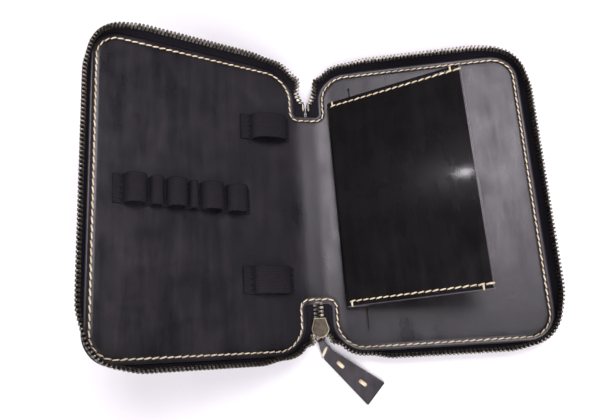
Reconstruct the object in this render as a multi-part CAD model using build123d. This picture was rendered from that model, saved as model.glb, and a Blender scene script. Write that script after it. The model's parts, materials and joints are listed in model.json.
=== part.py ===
"""Zip-round leather pen case, lying open: a back half flat on the table, a spine and a front half.

Millimetres, +Z up. The case is laid out flat first, with t measured across it from the middle of
the spine, y up the case and z up from the outer face of the leather. The spine and the front half
are then folded up about the two fold lines to the way the open case rests, and everything moves
across so that the origin is the middle of the back half's underside. The case's top is at +Y.
"""

import os
from math import atan2, cos, degrees, radians, sin

from build123d import *

os.makedirs("parts", exist_ok=True)

# ---- driving dimensions of the cover ----
CASE_HEIGHT = 196.0  # between the top and the bottom seam
HALF_WIDTH = 150.0  # from the middle of the spine to the outer seam
SEAM_INSET = 3.2  # from the leather's edge to the seam
CORNER_RADIUS = 15.0  # of the seam at the outer corners
NOTCH_RADIUS = 18.0  # of the seam where it turns into a notch
NOTCH_DEPTH = 33.2  # of the seam, at each end of the spine
NOTCH_HALF = 12.4  # from the middle of the spine to the notch's seam
OUTER_LEATHER = 2.0
TAPE_GAP = 1.0  # between the two leathers, where the zip tape is sewn in
LINING_LEATHER = 1.6
FOLD_AT = 11.5  # from the middle of the spine to each fold line
FOLD_GAP = 0.2  # each side of a fold line
REST_FOLD = 20.4  # degrees, at each fold line, as the open case rests

# ---- zip ----
TAPE_RISE = (4.6, 7.7)  # the tape's slope outside the leather: out, up
TAPE_SHOWING = 8.97  # along the slope, from the leather to the teeth
TOOTH = (3.4, 2.4, 1.4)  # along the tape's slope, through it, along the zip
TOOTH_PITCH = 2.6
ZIP_END_ANGLE = 56.0  # degrees of each notch corner that the moving tapes go round

# ---- zip slider and its puller ----
SLIDER_LENGTH = 13.5
SLIDER_WIDTH = 12.4
SLIDER_REAR_WIDTH = 8.6
SLIDER_REAR_Y = -77.1
SLIDER_PLATE = 1.0
SLIDER_ROOM = 3.0  # between the two plates
CHAIN_Z = 3.3  # middle of the closed teeth
LOOP_ROOM = 1.9  # under the slider, for the ring
RING_RADIUS = 3.2
RING_WIRE = 0.5
RING_EYE = -80.0  # degrees round the ring, where the puller hangs on it
PULLER_NECK = (4.4, -101.5)  # t and y of the middle of the puller's shoulder
PULLER_END = (34.4, -128.3)
PULLER_WIDTHS = (2.8, 7.4, 18.5)  # at the ring, at the shoulder, at the end
PULLER_LEATHER = 1.1
PULLER_BOTTOM = 0.25
EYE_RADIUS = 1.1

# ---- elastic on the front half ----
ELASTIC = 1.2
BAND_WIDTH = 18.0
BAND_MIDDLE = 1.2  # y
LOOP_EDGES = ((133.0, 119.4), (117.4, 108.8), (106.8, 93.8), (92.2, 86.2), (84.2, 68.6), (66.4, 51.6))
LOOP_RISES = (7.6, 5.6, 7.6, 5.0, 7.8, 7.8)
BAND_ENDS = (139.0, 48.6)
STRAP_MIDDLES = (56.0, -52.6)  # y
STRAP_ENDS = (55.0, 14.0)
STRAP_LOOP = (46.5, 17.0)
STRAP_RISE = 8.5

# ---- notebook cover, its back leaf in the slit of the lining ----
BOOK_HEIGHT = 147.5
BOOK_MIDDLE = 2.3  # y
LEAF_WIDTH = 95.5
LEAF_TILT = 21.0
LEAF_LEATHER = 1.6
POCKET_LEATHER = 1.4
BOOK_SKEW = 1.3  # degrees, of the fold from the case's spine
BOOK_FOLD_AT = 20.6  # t of the middle of the rolled fold
BOOK_FOLD_RADIUS = 3.1
SLIT_AT = 32.6
SLIT_WIDTH = 1.8
SLIT_ENDS = (-86.5, 88.5)
STRIP_END = 26.8  # t where the back leaf's strip on the lining ends, short of the fold
BACK_LEAF_END = 126.0

THREAD = 0.9
THREAD_PROUD = 0.4

LINING_Z = OUTER_LEATHER + TAPE_GAP
TOP_Z = LINING_Z + LINING_LEATHER  # the fold lines lie in the lining's face
SEAM_TOP = CASE_HEIGHT / 2
SPINE_END = SEAM_TOP - NOTCH_DEPTH + SEAM_INSET  # the leather's end at the bottom of a notch
EDGE_T = HALF_WIDTH + SEAM_INSET
ORIGIN_T = (FOLD_AT + FOLD_GAP + EDGE_T) / 2
NOTCH_CENTRE_T = NOTCH_HALF + NOTCH_RADIUS
NOTCH_CENTRE_Y = SEAM_TOP - NOTCH_RADIUS
SLOPE = (TAPE_RISE[0] / TAPE_SHOWING, TAPE_RISE[1] / TAPE_SHOWING)


# ---- where the three parts of the cover lie ----
def turned_about(t, z, degrees):
    """A turn about a line along Y through (t, z)."""
    return Pos(t, 0, z) * Rot(0, degrees, 0) * Pos(-t, 0, -z)


BACK_PLACE = Pos(-ORIGIN_T, 0, 0)
SPINE_PLACE = BACK_PLACE * turned_about(FOLD_AT, TOP_Z, REST_FOLD)
FRONT_PLACE = SPINE_PLACE * turned_about(-FOLD_AT, TOP_Z, REST_FOLD)


def save(name, shape, place=BACK_PLACE):
    """Writes one sub-part, moved to where it lies in the open case."""
    export_step(place * shape, f"parts/{name}.step")


def plate(face, low, high):
    """A flat piece between two heights."""
    return Pos(0, 0, low) * extrude(face, high - low)


def group(solids):
    """Separate solids that make up one sub-part."""
    return Compound(children=list(solids))


# ---- leather of the two halves ----
def half_face(grow):
    """The flat outline of the half at +t, grow outside the seam, squared off at the fold."""
    outer, top, notch = HALF_WIDTH + grow, SEAM_TOP + grow, NOTCH_HALF - grow
    fold, shoulder = FOLD_AT + FOLD_GAP, SPINE_END + FOLD_GAP
    upper = [(fold, shoulder), (notch, shoulder), (notch, top), (outer, top)]
    lower = [(t, -y) for t, y in reversed(upper)]
    face = make_face(Polyline(*upper, *lower, close=True))
    ends = face.vertices().filter_by(lambda v: abs(abs(v.Y) - top) < 0.01)
    face = fillet(ends.filter_by(lambda v: v.X > ORIGIN_T), CORNER_RADIUS + grow)
    ends = face.vertices().filter_by(lambda v: abs(abs(v.Y) - top) < 0.01)
    return fillet(ends.filter_by(lambda v: v.X < notch + 1), NOTCH_RADIUS + grow)


def seam_ring(width):
    """A band of the given width along the seam of one half."""
    return half_face(width / 2) - half_face(-width / 2)


def outer_leather():
    groove = plate(seam_ring(THREAD + 0.4), 0, THREAD_PROUD + 0.1)
    return plate(half_face(SEAM_INSET), 0, OUTER_LEATHER) - groove


def lining_leather():
    return plate(half_face(SEAM_INSET), LINING_Z, TOP_Z)


def seam_threads():
    ring = seam_ring(THREAD)
    inside = plate(ring, TOP_Z, TOP_Z + THREAD_PROUD)
    return group([inside, plate(ring, 0.05, THREAD_PROUD)])


def back_lining():
    """The back half's lining, with the slit that a notebook cover slips into."""
    low, high = SLIT_ENDS
    slit = Pos(SLIT_AT, (low + high) / 2) * Rectangle(SLIT_WIDTH, high - low)
    return lining_leather() - plate(slit, OUTER_LEATHER, TOP_Z + 1)


# ---- zip ----
def zip_path(grow):
    """The line round three sides of a half at +t, grow outside the seam, from the top notch."""
    notch, corner = NOTCH_RADIUS + grow, CORNER_RADIUS + grow
    turn_t, turn_y = HALF_WIDTH - CORNER_RADIUS, SEAM_TOP - CORNER_RADIUS
    top = SEAM_TOP + grow
    side = HALF_WIDTH + grow
    pieces = [
        CenterArc((NOTCH_CENTRE_T, NOTCH_CENTRE_Y), notch, 90 + ZIP_END_ANGLE, -ZIP_END_ANGLE),
        Line((NOTCH_CENTRE_T, top), (turn_t, top)),
        CenterArc((turn_t, turn_y), corner, 90, -90),
        Line((side, turn_y), (side, -turn_y)),
        CenterArc((turn_t, -turn_y), corner, 0, -90),
        Line((turn_t, -top), (NOTCH_CENTRE_T, -top)),
        CenterArc((NOTCH_CENTRE_T, -NOTCH_CENTRE_Y), notch, -90, -ZIP_END_ANGLE),
    ]
    return Wire([edge for piece in pieces for edge in piece.edges()])


def across(path, share):
    """The plane across the path at a share of its length: x outward, y up."""
    ahead = path % share
    return Plane(origin=path @ share, x_dir=(-ahead.Y, ahead.X, 0), z_dir=ahead)


def zip_tape():
    """One stringer's tape: flat where it is sewn in, then sloping up and out to the teeth."""
    path = zip_path(0)
    half = TAPE_GAP / 2
    middle = OUTER_LEATHER + half
    bend = SEAM_INSET + 0.4
    end = (bend + TAPE_RISE[0], middle + TAPE_RISE[1])
    side = (SLOPE[1] * half, -SLOPE[0] * half)
    section = Polyline(
        (-1.5, OUTER_LEATHER),
        (bend + 0.3, OUTER_LEATHER),
        (end[0] + side[0], end[1] + side[1]),
        (end[0] - side[0], end[1] - side[1]),
        (bend - 0.3, LINING_Z),
        (-1.5, LINING_Z),
        close=True,
    )
    return sweep(across(path, 0) * make_face(section), path=path)


def zip_teeth():
    """One stringer's row of teeth, each clamped on the tape's edge."""
    reach = SEAM_INSET + 0.4 + TAPE_RISE[0] + SLOPE[0] * TOOTH[0] / 2
    height = OUTER_LEATHER + TAPE_GAP / 2 + TAPE_RISE[1] + SLOPE[1] * TOOTH[0] / 2
    path = zip_path(reach)
    count = int(path.length / TOOTH_PITCH)
    lean = Rot(0, 0, degrees(atan2(SLOPE[1], SLOPE[0])) - 90)
    return group(
        across(path, (n + 0.5) / count) * Pos(0, height, 0) * lean * Box(TOOTH[1], TOOTH[0], TOOTH[2])
        for n in range(count)
    )


def notch_tapes():
    """The two tapes together at each notch, their ends sewn in under the spine."""
    tucked, reach = SPINE_END - 8.0, NOTCH_CENTRE_Y + 12.0
    width = 2 * (NOTCH_HALF - SEAM_INSET) - 0.8
    step = SPINE_END + 0.3
    tail = Pos(0, (tucked + step) / 2) * Rectangle(width, step - tucked)
    free = Pos(0, (step - 0.1 + reach) / 2) * Rectangle(width, reach - step + 0.1)
    parting = Pos(0, (NOTCH_CENTRE_Y - 2 + reach) / 2) * Rectangle(4.4, reach - NOTCH_CENTRE_Y + 2.2)
    ends_apart = Pos(0, (step + NOTCH_CENTRE_Y) / 2) * Rectangle(2.6, NOTCH_CENTRE_Y - step)
    both = plate(tail, OUTER_LEATHER, LINING_Z)
    low, high = CHAIN_Z - TAPE_GAP / 2, CHAIN_Z + TAPE_GAP / 2
    upper = both + plate(free - parting - ends_apart, low, high)
    lower = both + plate(free - parting, low, high)
    return group([upper, mirror(lower, about=Plane.XZ)])


# ---- elastic ----
def arch(start, end, rise):
    """An elastic loop's outline between two sewn lines, from the leather up and over."""
    shoulder = min(abs(end - start) * 0.28, rise * 0.6)
    way = 1 if end > start else -1
    points = [(start, 0), (start + way * shoulder * 0.15, rise * 0.72), (start + way * shoulder, rise)]
    points += [(end - way * shoulder, rise), (end - way * shoulder * 0.15, rise * 0.72), (end, 0)]
    return points


def elastic_strip(ends, loops, rises, width, middle):
    """A strip sewn flat to the lining at +t except where it stands up in loops."""
    outline = []
    for (start, end), rise in zip(loops, rises):
        outline += arch(start, end, rise)
    floor = TOP_Z
    top = [(ends[0], ELASTIC), *[(t, z + ELASTIC) for t, z in outline], (ends[1], ELASTIC)]
    solid = Polyline(*[(t, floor + z) for t, z in top], (ends[1], floor), (ends[0], floor), close=True)
    body = extrude(Plane.XZ * make_face(solid), width / 2, both=True)
    for (start, end), rise in zip(loops, rises):
        way = 1 if end > start else -1
        inner = arch(start + way * ELASTIC, end - way * ELASTIC, rise)
        hollow = Polyline(*[(t, floor + z) for t, z in inner], close=True)
        body -= extrude(Plane.XZ * make_face(hollow), width, both=True)
    return Pos(0, middle, 0) * body


def tack_row(t, middle, width):
    """A short column of tacking stitches across an elastic strip."""
    z = TOP_Z + ELASTIC + 0.15
    return [Pos(t, middle + y * (width / 2 - 2.5) / 2, z) * Box(0.7, 3.0, 0.3) for y in (-2, 0, 2)]


# ---- notebook cover ----
def book_back_leaf():
    """The back leaf under the lining, its rise through the slit and the strip up to the fold."""
    low, thick = OUTER_LEATHER + 0.05, TAPE_GAP - 0.1
    strip_z = TOP_Z + 0.2
    left = SLIT_AT - 0.5
    points = [(left, low), (BACK_LEAF_END, low), (BACK_LEAF_END, low + thick), (left + 1, low + thick)]
    points += [(left + 1, strip_z + 1), (STRIP_END, strip_z + 1), (STRIP_END, strip_z), (left, strip_z)]
    section = make_face(Plane.XZ * Polyline(*points, close=True))
    return Pos(0, BOOK_MIDDLE, 0) * extrude(section, BOOK_HEIGHT / 2, both=True)


FOLD_CENTRE_Z = TOP_Z + 0.9 + BOOK_FOLD_RADIUS
SKEWED = Pos(BOOK_FOLD_AT, BOOK_MIDDLE, FOLD_CENTRE_Z) * Rot(0, 0, BOOK_SKEW)


def book_fold():
    """The rolled fold between the two leaves, about its own middle."""
    outer, inner = BOOK_FOLD_RADIUS, BOOK_FOLD_RADIUS - 1.2
    wall = Circle(outer) - Circle(inner)
    far = 3 * outer
    tilt = radians(LEAF_TILT)
    mouth = [(0, -far), (0, 0), (-far * sin(tilt), far * cos(tilt)), (far, far), (far, -far)]
    wall -= make_face(Polyline(*mouth, close=True))
    flange = Pos(1.6, -(outer + inner) / 2) * Rectangle(3.2, outer - inner)
    return extrude(Plane.XZ * (wall + flange), BOOK_HEIGHT / 2, both=True)


def on_leaf(shape):
    """Places a piece drawn with x along the leaf from its hinge and z up through it."""
    tilt = Rot(0, -LEAF_TILT, 0)
    return tilt * Pos(0, 0, BOOK_FOLD_RADIUS) * shape


def leaf_layer(start, width, low, high):
    return on_leaf(Pos(start + width / 2, 0, (low + high) / 2) * Box(width, BOOK_HEIGHT, high - low))


def leaf_threads():
    """The seams that close the notebook cover's pocket at its top and bottom."""
    rows = []
    for y in (-1, 1):
        seam = Pos(LEAF_WIDTH / 2 + 0.5, y * (BOOK_HEIGHT / 2 - 3.5), 0.15)
        rows.append(on_leaf(seam * Box(LEAF_WIDTH - 5, THREAD, 0.3)))
    return group(rows)


# ---- slider and puller ----
def bell(width, rear):
    """The slider plate's outline in plan: narrow at the closed teeth, round at the mouth."""
    front = SLIDER_REAR_Y - SLIDER_LENGTH
    round_y = front + width / 2
    body = make_face(
        Polyline(
            (-rear / 2, SLIDER_REAR_Y),
            (rear / 2, SLIDER_REAR_Y),
            (rear / 2 + 0.4, SLIDER_REAR_Y - 3.5),
            (width / 2, round_y),
            (-width / 2, round_y),
            (-rear / 2 - 0.4, SLIDER_REAR_Y - 3.5),
            close=True,
        )
    )
    return body + Pos(0, round_y) * Circle(width / 2)


def slider_body():
    """Two plates, their side flanges, the wedge between the rows and the loop for the ring."""
    front = SLIDER_REAR_Y - SLIDER_LENGTH
    half = SLIDER_ROOM / 2
    face = bell(SLIDER_WIDTH, SLIDER_REAR_WIDTH)
    body = plate(face, CHAIN_Z + half, CHAIN_Z + half + SLIDER_PLATE)
    body += plate(face, CHAIN_Z - half - SLIDER_PLATE, CHAIN_Z - half)
    for side in (-1, 1):
        flange = Pos(side * (SLIDER_REAR_WIDTH / 2 - 0.4), SLIDER_REAR_Y - 3.6) * Rectangle(0.8, 6.4)
        body += plate(flange, CHAIN_Z - half, CHAIN_Z - half + 0.8)
        body += plate(flange, CHAIN_Z + half - 0.8, CHAIN_Z + half)
    wedge = [(-1.6, front + 2.2), (1.6, front + 2.2), (0.5, front + 6.4), (-0.5, front + 6.4)]
    body += plate(make_face(Polyline(*wedge, close=True)), CHAIN_Z - half, CHAIN_Z + half)
    under = CHAIN_Z - half - SLIDER_PLATE
    legs = (front + 1.6, SLIDER_REAR_Y - 2.0)
    for y in legs:
        body += plate(Pos(0, y + 0.5) * Rectangle(1.2, 1.0), under - LOOP_ROOM, under)
    span = legs[1] + 1.0 - legs[0]
    bar = Pos(0, legs[0] + span / 2) * Rectangle(1.2, span)
    return body + plate(bar, under - LOOP_ROOM - 0.8, under - LOOP_ROOM)


RING_Z = CHAIN_Z - SLIDER_ROOM / 2 - SLIDER_PLATE - LOOP_ROOM / 2
RING_CENTRE = (0.9, SLIDER_REAR_Y - SLIDER_LENGTH + 0.8)


def pull_ring():
    """The ring through the slider's loop."""
    return Pos(*RING_CENTRE, RING_Z) * Torus(RING_RADIUS, RING_WIRE)


EYE = SPINE_PLACE * Pos(*RING_CENTRE, RING_Z) * Rot(0, 0, RING_EYE) * Pos(RING_RADIUS, 0, 0)
NECK = Vector(PULLER_NECK[0] - ORIGIN_T, PULLER_NECK[1])
END = Vector(PULLER_END[0] - ORIGIN_T, PULLER_END[1])


def tapered(start, end, width_start, width_end):
    """A flat strip between two points in plan, of two widths."""
    along = (end - start).normalized()
    side = Vector(-along.Y, along.X) / 2
    corners = [start + side * width_start, start - side * width_start]
    corners += [end - side * width_end, end + side * width_end]
    return make_face(Polyline(*[(p.X, p.Y) for p in corners], close=True))


def puller_strap():
    """A leather strip folded round the ring, its two faces sewn together behind the fold."""
    eye = Vector(EYE.position.X, EYE.position.Y)
    near, shoulder, far = PULLER_WIDTHS
    along = (NECK - eye).normalized()
    start = eye + along * 0.4
    faces = tapered(start, NECK + along, near, shoulder - 0.6) + tapered(NECK, END, shoulder, far)
    leaves = plate(faces, PULLER_BOTTOM, PULLER_BOTTOM + 2 * PULLER_LEATHER)
    bend = EYE * Rot(90, 0, 0)
    wall = bend * extrude(Circle(EYE_RADIUS + PULLER_LEATHER - 0.1), near / 2 - 0.3, both=True)
    return leaves + wall - bend * extrude(Circle(EYE_RADIUS), near, both=True)


def puller_threads():
    """Two long stitches down the puller and the thread tied across its neck."""
    along = (END - NECK).normalized()
    face = Vector(0, 0, PULLER_BOTTOM + 2 * PULLER_LEATHER + 0.25)
    place = Plane(origin=NECK + face, x_dir=(along.X, along.Y, 0))
    rows = [place * Pos(x, 0, 0) * Box(7.5, 1.4, 0.5) for x in (10.0, 29.0)]
    return group([*rows, place * Pos(1.2, 0, 0) * Box(1.0, PULLER_WIDTHS[1], 0.5)])


# ---- the back half ----
save("outer_leather_back", outer_leather())
save("lining_back", back_lining())
save("zip_tape_back", zip_tape())
save("zip_teeth_back", zip_teeth())
save("seam_thread_back", seam_threads())

# ---- the spine ----
spine_face = Rectangle(2 * (FOLD_AT - FOLD_GAP), 2 * SPINE_END)
save("outer_leather_spine", plate(spine_face, 0, OUTER_LEATHER), SPINE_PLACE)
save("lining_spine", plate(spine_face, LINING_Z, TOP_Z), SPINE_PLACE)
spine_seams = [
    Pos(0, y * (SPINE_END - SEAM_INSET), TOP_Z + THREAD_PROUD / 2)
    * Box(2 * (FOLD_AT - 1), THREAD, THREAD_PROUD)
    for y in (-1, 1)
]
save("seam_thread_spine", group(spine_seams), SPINE_PLACE)
save("notch_tapes", notch_tapes(), SPINE_PLACE)

# ---- the front half ----
save("outer_leather_front", mirror(outer_leather(), about=Plane.YZ), FRONT_PLACE)
save("lining_front", mirror(lining_leather(), about=Plane.YZ), FRONT_PLACE)
save("zip_tape_front", mirror(zip_tape(), about=Plane.YZ), FRONT_PLACE)
save("zip_teeth_front", mirror(zip_teeth(), about=Plane.YZ), FRONT_PLACE)
save("seam_thread_front", mirror(seam_threads(), about=Plane.YZ), FRONT_PLACE)

# ---- elastic on the front half ----
band = elastic_strip(BAND_ENDS, LOOP_EDGES, LOOP_RISES, BAND_WIDTH, BAND_MIDDLE)
save("pen_loop_band", mirror(band, about=Plane.YZ), FRONT_PLACE)
tacks = tack_row(BAND_ENDS[0] - 2.5, BAND_MIDDLE, BAND_WIDTH)
tacks += tack_row(BAND_ENDS[1] + 1.5, BAND_MIDDLE, BAND_WIDTH)
for (_, left), (right, _) in zip(LOOP_EDGES, LOOP_EDGES[1:]):
    tacks += tack_row((left + right) / 2, BAND_MIDDLE, BAND_WIDTH)
save("pen_loop_tacks", mirror(group(tacks), about=Plane.YZ), FRONT_PLACE)
for name, middle in zip(("upper", "lower"), STRAP_MIDDLES):
    strap = elastic_strip(STRAP_ENDS, (STRAP_LOOP,), (STRAP_RISE,), BAND_WIDTH, middle)
    save(f"{name}_strap", mirror(strap, about=Plane.YZ), FRONT_PLACE)
    tacks = tack_row(STRAP_ENDS[0] - 6.0, middle, BAND_WIDTH)
    tacks += tack_row(STRAP_ENDS[1] + 1.5, middle, BAND_WIDTH)
    save(f"{name}_strap_tacks", mirror(group(tacks), about=Plane.YZ), FRONT_PLACE)

# ---- closed teeth, stops, slider and puller ----
closed = [
    Pos(side * 1.3, SLIDER_REAR_Y + 1.4 + TOOTH_PITCH * (n + side / 4), CHAIN_Z) * Box(3.0, 1.2, TOOTH[1])
    for n in range(3)
    for side in (-1, 1)
]
save("closed_teeth", group(closed), SPINE_PLACE)
save("bottom_stop", Pos(0, -SPINE_END - 1.2, CHAIN_Z) * Box(6.0, 1.8, 3.0), SPINE_PLACE)
stops = [Pos(side * 2.4, NOTCH_CENTRE_Y - 4.0, CHAIN_Z) * Box(2.2, 5.0, 2.8) for side in (-1, 1)]
save("top_stops", group(stops), SPINE_PLACE)
save("slider_body", slider_body(), SPINE_PLACE)
save("pull_ring", pull_ring(), SPINE_PLACE)
save("puller_strap", puller_strap(), Pos(0, 0, 0))
save("puller_thread", puller_threads(), Pos(0, 0, 0))

# ---- notebook cover ----
save("notebook_back_leaf", book_back_leaf())
save("notebook_fold", SKEWED * book_fold())
save("notebook_front_leaf", SKEWED * leaf_layer(0.3, LEAF_WIDTH, -LEAF_LEATHER, 0))
pocket_low = -LEAF_LEATHER - POCKET_LEATHER
save("notebook_pocket", SKEWED * leaf_layer(4.3, LEAF_WIDTH - 4.3, pocket_low, -LEAF_LEATHER))
save("notebook_thread", SKEWED * leaf_threads())
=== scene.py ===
"""The looks of a zip-round leather pen case, laid out as an add-on and run as a script."""

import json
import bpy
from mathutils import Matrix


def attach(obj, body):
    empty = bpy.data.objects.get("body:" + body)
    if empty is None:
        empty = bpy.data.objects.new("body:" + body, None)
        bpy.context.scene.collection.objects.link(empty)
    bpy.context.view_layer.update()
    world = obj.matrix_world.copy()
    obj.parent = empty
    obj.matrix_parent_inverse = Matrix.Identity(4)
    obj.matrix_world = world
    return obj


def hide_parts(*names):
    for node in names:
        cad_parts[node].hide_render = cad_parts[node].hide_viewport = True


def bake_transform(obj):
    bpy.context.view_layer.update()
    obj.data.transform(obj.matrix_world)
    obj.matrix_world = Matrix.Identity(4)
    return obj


bl_info = {
    "name": "Zip-round pen case",
    "version": (1, 0, 0),
    "blender": (4, 5, 0),
    "location": "View3D > Sidebar > Pen case",
    "description": "Builds the leather, zip, stitching, elastic and notebook cover of a pen case",
    "category": "Add Mesh",
}

from math import atan2, cos, pi, radians, sin

import bmesh
import bpy
import numpy as np
from bpy.props import FloatProperty, FloatVectorProperty, IntProperty, PointerProperty
from mathutils import Matrix, Vector

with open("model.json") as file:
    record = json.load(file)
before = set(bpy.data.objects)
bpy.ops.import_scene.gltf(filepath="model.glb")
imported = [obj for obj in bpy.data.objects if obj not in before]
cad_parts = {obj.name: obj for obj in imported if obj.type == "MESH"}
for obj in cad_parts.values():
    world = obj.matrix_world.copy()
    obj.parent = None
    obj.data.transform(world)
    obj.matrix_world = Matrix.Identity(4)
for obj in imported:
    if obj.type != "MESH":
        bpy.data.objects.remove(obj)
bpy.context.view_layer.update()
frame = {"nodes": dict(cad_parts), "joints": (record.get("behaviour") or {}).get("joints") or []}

MM = 0.001


def joint_spot(name):
    """Where a joint is, in the row frame."""
    return Vector(next(j for j in frame["joints"] if j["name"] == name)["pos_m"])


# ---- the case laid out flat, in mm: t across from the middle of the spine, y up, z from the outer face ----
BACK_FOLD = joint_spot("back_fold")
FRONT_FOLD = joint_spot("front_fold")
SPINE_SPOT = (BACK_FOLD + FRONT_FOLD) / 2 / MM
FOLD_AT = (BACK_FOLD - FRONT_FOLD).length / 2 / MM  # t of each fold line
FOLD_Z = BACK_FOLD.z / MM  # the fold lines lie in the lining's face
TILT = atan2(FRONT_FOLD.z - BACK_FOLD.z, BACK_FOLD.x - FRONT_FOLD.x)  # the spine's slope
BEND = 8.0  # the leather curves this far each side of a fold line

HALF_WIDTH = 150.0  # from the middle of the spine to the outer seam
SEAM_TOP = 98.0  # y of the top seam
CORNER = 15.0  # radius of the seam at the outer corners
NOTCH_RADIUS = 18.0  # of the seam where it turns into a notch
NOTCH_HALF = 12.4  # from the middle of the spine to the notch's seam
NOTCH_FLOOR = 64.8  # y of the seam across the spine
NOTCH_TURN = 6.0  # radius of the seam at the bottom of a notch
LINING_TOP = 4.6  # z of the lining's face
TAPE_MIDDLE = 2.5  # z of the zip tape where it is sewn in
TAPE_START = 3.6  # from the seam to where the tape leaves the leather
TAPE_HIDDEN = 9.0  # width of the tape between the leathers
TAPE_WIDTH = 8.97  # of the tape that shows
TAPE_RISE = 1.2  # power of the curve it rises by
WALL_SLOPE = radians(59.1)  # the tape's slope outside the leather
LAID_SLOPE = radians(5.0)  # and where it lies flat in a notch
CORNER_PULL = radians(24.0)  # how much steeper it stands at an outer corner,
NOTCH_PULL = radians(17.0)  # beside a notch
FOOT_PULL = radians(9.0)  # and along the bottom
CHAIN_Z = 3.3  # z of the closed teeth


def fold_table():
    """The cover's curve across the spine: t, angle, x and z, with both folds rounded off."""
    t = np.arange(-200.0, 200.05, 0.1)
    turned = sum(np.clip((at + BEND - t) / (2 * BEND), 0, 1) for at in (FOLD_AT, -FOLD_AT))
    angle = TILT * turned
    middle = (angle[1:] + angle[:-1]) / 2
    x = np.concatenate([[0], np.cumsum(np.cos(middle) * 0.1)])
    z = np.concatenate([[0], np.cumsum(-np.sin(middle) * 0.1)])
    zero = len(t) // 2
    return t, angle, x - x[zero] + SPINE_SPOT.x, z - z[zero] + SPINE_SPOT.z


TABLE = fold_table()


def fold(flat):
    """Flat layout points in mm to where they lie in the open case, in metres."""
    flat = np.asarray(flat, float).reshape(-1, 3)
    t, y, z = flat.T
    angle, x, h = (np.interp(t, TABLE[0], column) for column in TABLE[1:])
    lift = z - FOLD_Z
    return np.column_stack([x + lift * np.sin(angle), y, h + lift * np.cos(angle)]) * MM


def on_spine(flat):
    """The same for a rigid piece that is fixed to the spine, which turns with it unbent."""
    flat = np.asarray(flat, float).reshape(-1, 3)
    t, y, lift = flat[:, 0], flat[:, 1], flat[:, 2] - FOLD_Z
    x = SPINE_SPOT.x + t * cos(TILT) + lift * sin(TILT)
    z = SPINE_SPOT.z - t * sin(TILT) + lift * cos(TILT)
    return np.column_stack([x, y, z]) * MM


def smooth(value, low, high):
    """0 below low, 1 above high and a smooth rise between."""
    share = min(1.0, max(0.0, (value - low) / (high - low)))
    return share * share * (3 - 2 * share)


def unit(rows):
    """Every row made one long."""
    return rows / np.linalg.norm(rows, axis=1)[:, None]


def square_to(line):
    """The way square to a flat line, to its left, at each of its points."""
    ahead = unit(np.gradient(np.asarray(line, float), axis=0))
    return np.column_stack([-ahead[:, 1], ahead[:, 0]])


# ---- nodes and colours ----
def colour(hex_value):
    """An sRGB hex value as linear red, green, blue and alpha."""
    parts = [int(hex_value[n : n + 2], 16) / 255 for n in (1, 3, 5)]
    return (*[c / 12.92 if c <= 0.04045 else ((c + 0.055) / 1.055) ** 2.4 for c in parts], 1.0)


def add(tree, kind, sockets=None, **settings):
    """Adds a node with its settings; a socket is given a value, or the output that feeds it."""
    node = tree.nodes.new(kind)
    for name, value in settings.items():
        setattr(node, name, value)
    for name, value in (sockets or {}).items():
        if isinstance(value, bpy.types.NodeSocket):
            tree.links.new(value, node.inputs[name])
        else:
            node.inputs[name].default_value = value
    return node


def new_material(name):
    """An empty material: itself, its tree, its Principled shader and its place in the object."""
    material = bpy.data.materials.new(name)
    material.use_nodes = True
    tree = material.node_tree
    tree.nodes.clear()
    shader = add(tree, "ShaderNodeBsdfPrincipled")
    add(tree, "ShaderNodeOutputMaterial", {"Surface": shader.outputs["BSDF"]})
    return material, tree, shader, add(tree, "ShaderNodeTexCoord").outputs["Object"]


def noise(tree, place, scale, detail, roughness=0.5, distortion=0.0):
    """A cloudy pattern."""
    sockets = {"Vector": place, "Scale": scale, "Detail": detail, "Roughness": roughness, "Distortion": distortion}
    return add(tree, "ShaderNodeTexNoise", sockets).outputs[0]


def spread(tree, value, low, high, start=0.0, end=1.0):
    """A value from low to high stretched to run from start to end."""
    return add(tree, "ShaderNodeMapRange", {0: value, 1: low, 2: high, 3: start, 4: end}).outputs[0]


def mix(tree, share, first, second, how="MIX"):
    """Two colours mixed, or multiplied."""
    return add(tree, "ShaderNodeMix", {0: share, 6: first, 7: second}, data_type="RGBA", blend_type=how).outputs[2]


def relief(tree, height, strength, distance, **more):
    """Small relief from a height, in metres."""
    sockets = {"Height": height, "Strength": strength, "Distance": distance, **more}
    return add(tree, "ShaderNodeBump", sockets).outputs[0]


def rim_share(tree):
    """The rim attribute of the mesh: 1 on a cut edge, a thread's end or a raised rim."""
    return add(tree, "ShaderNodeAttribute", attribute_name="rim").outputs["Fac"]


def dress(tree, shader, base, normal):
    """Feeds the shader its colour and its relief."""
    tree.links.new(base, shader.inputs["Base Color"])
    tree.links.new(normal, shader.inputs["Normal"])


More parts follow.
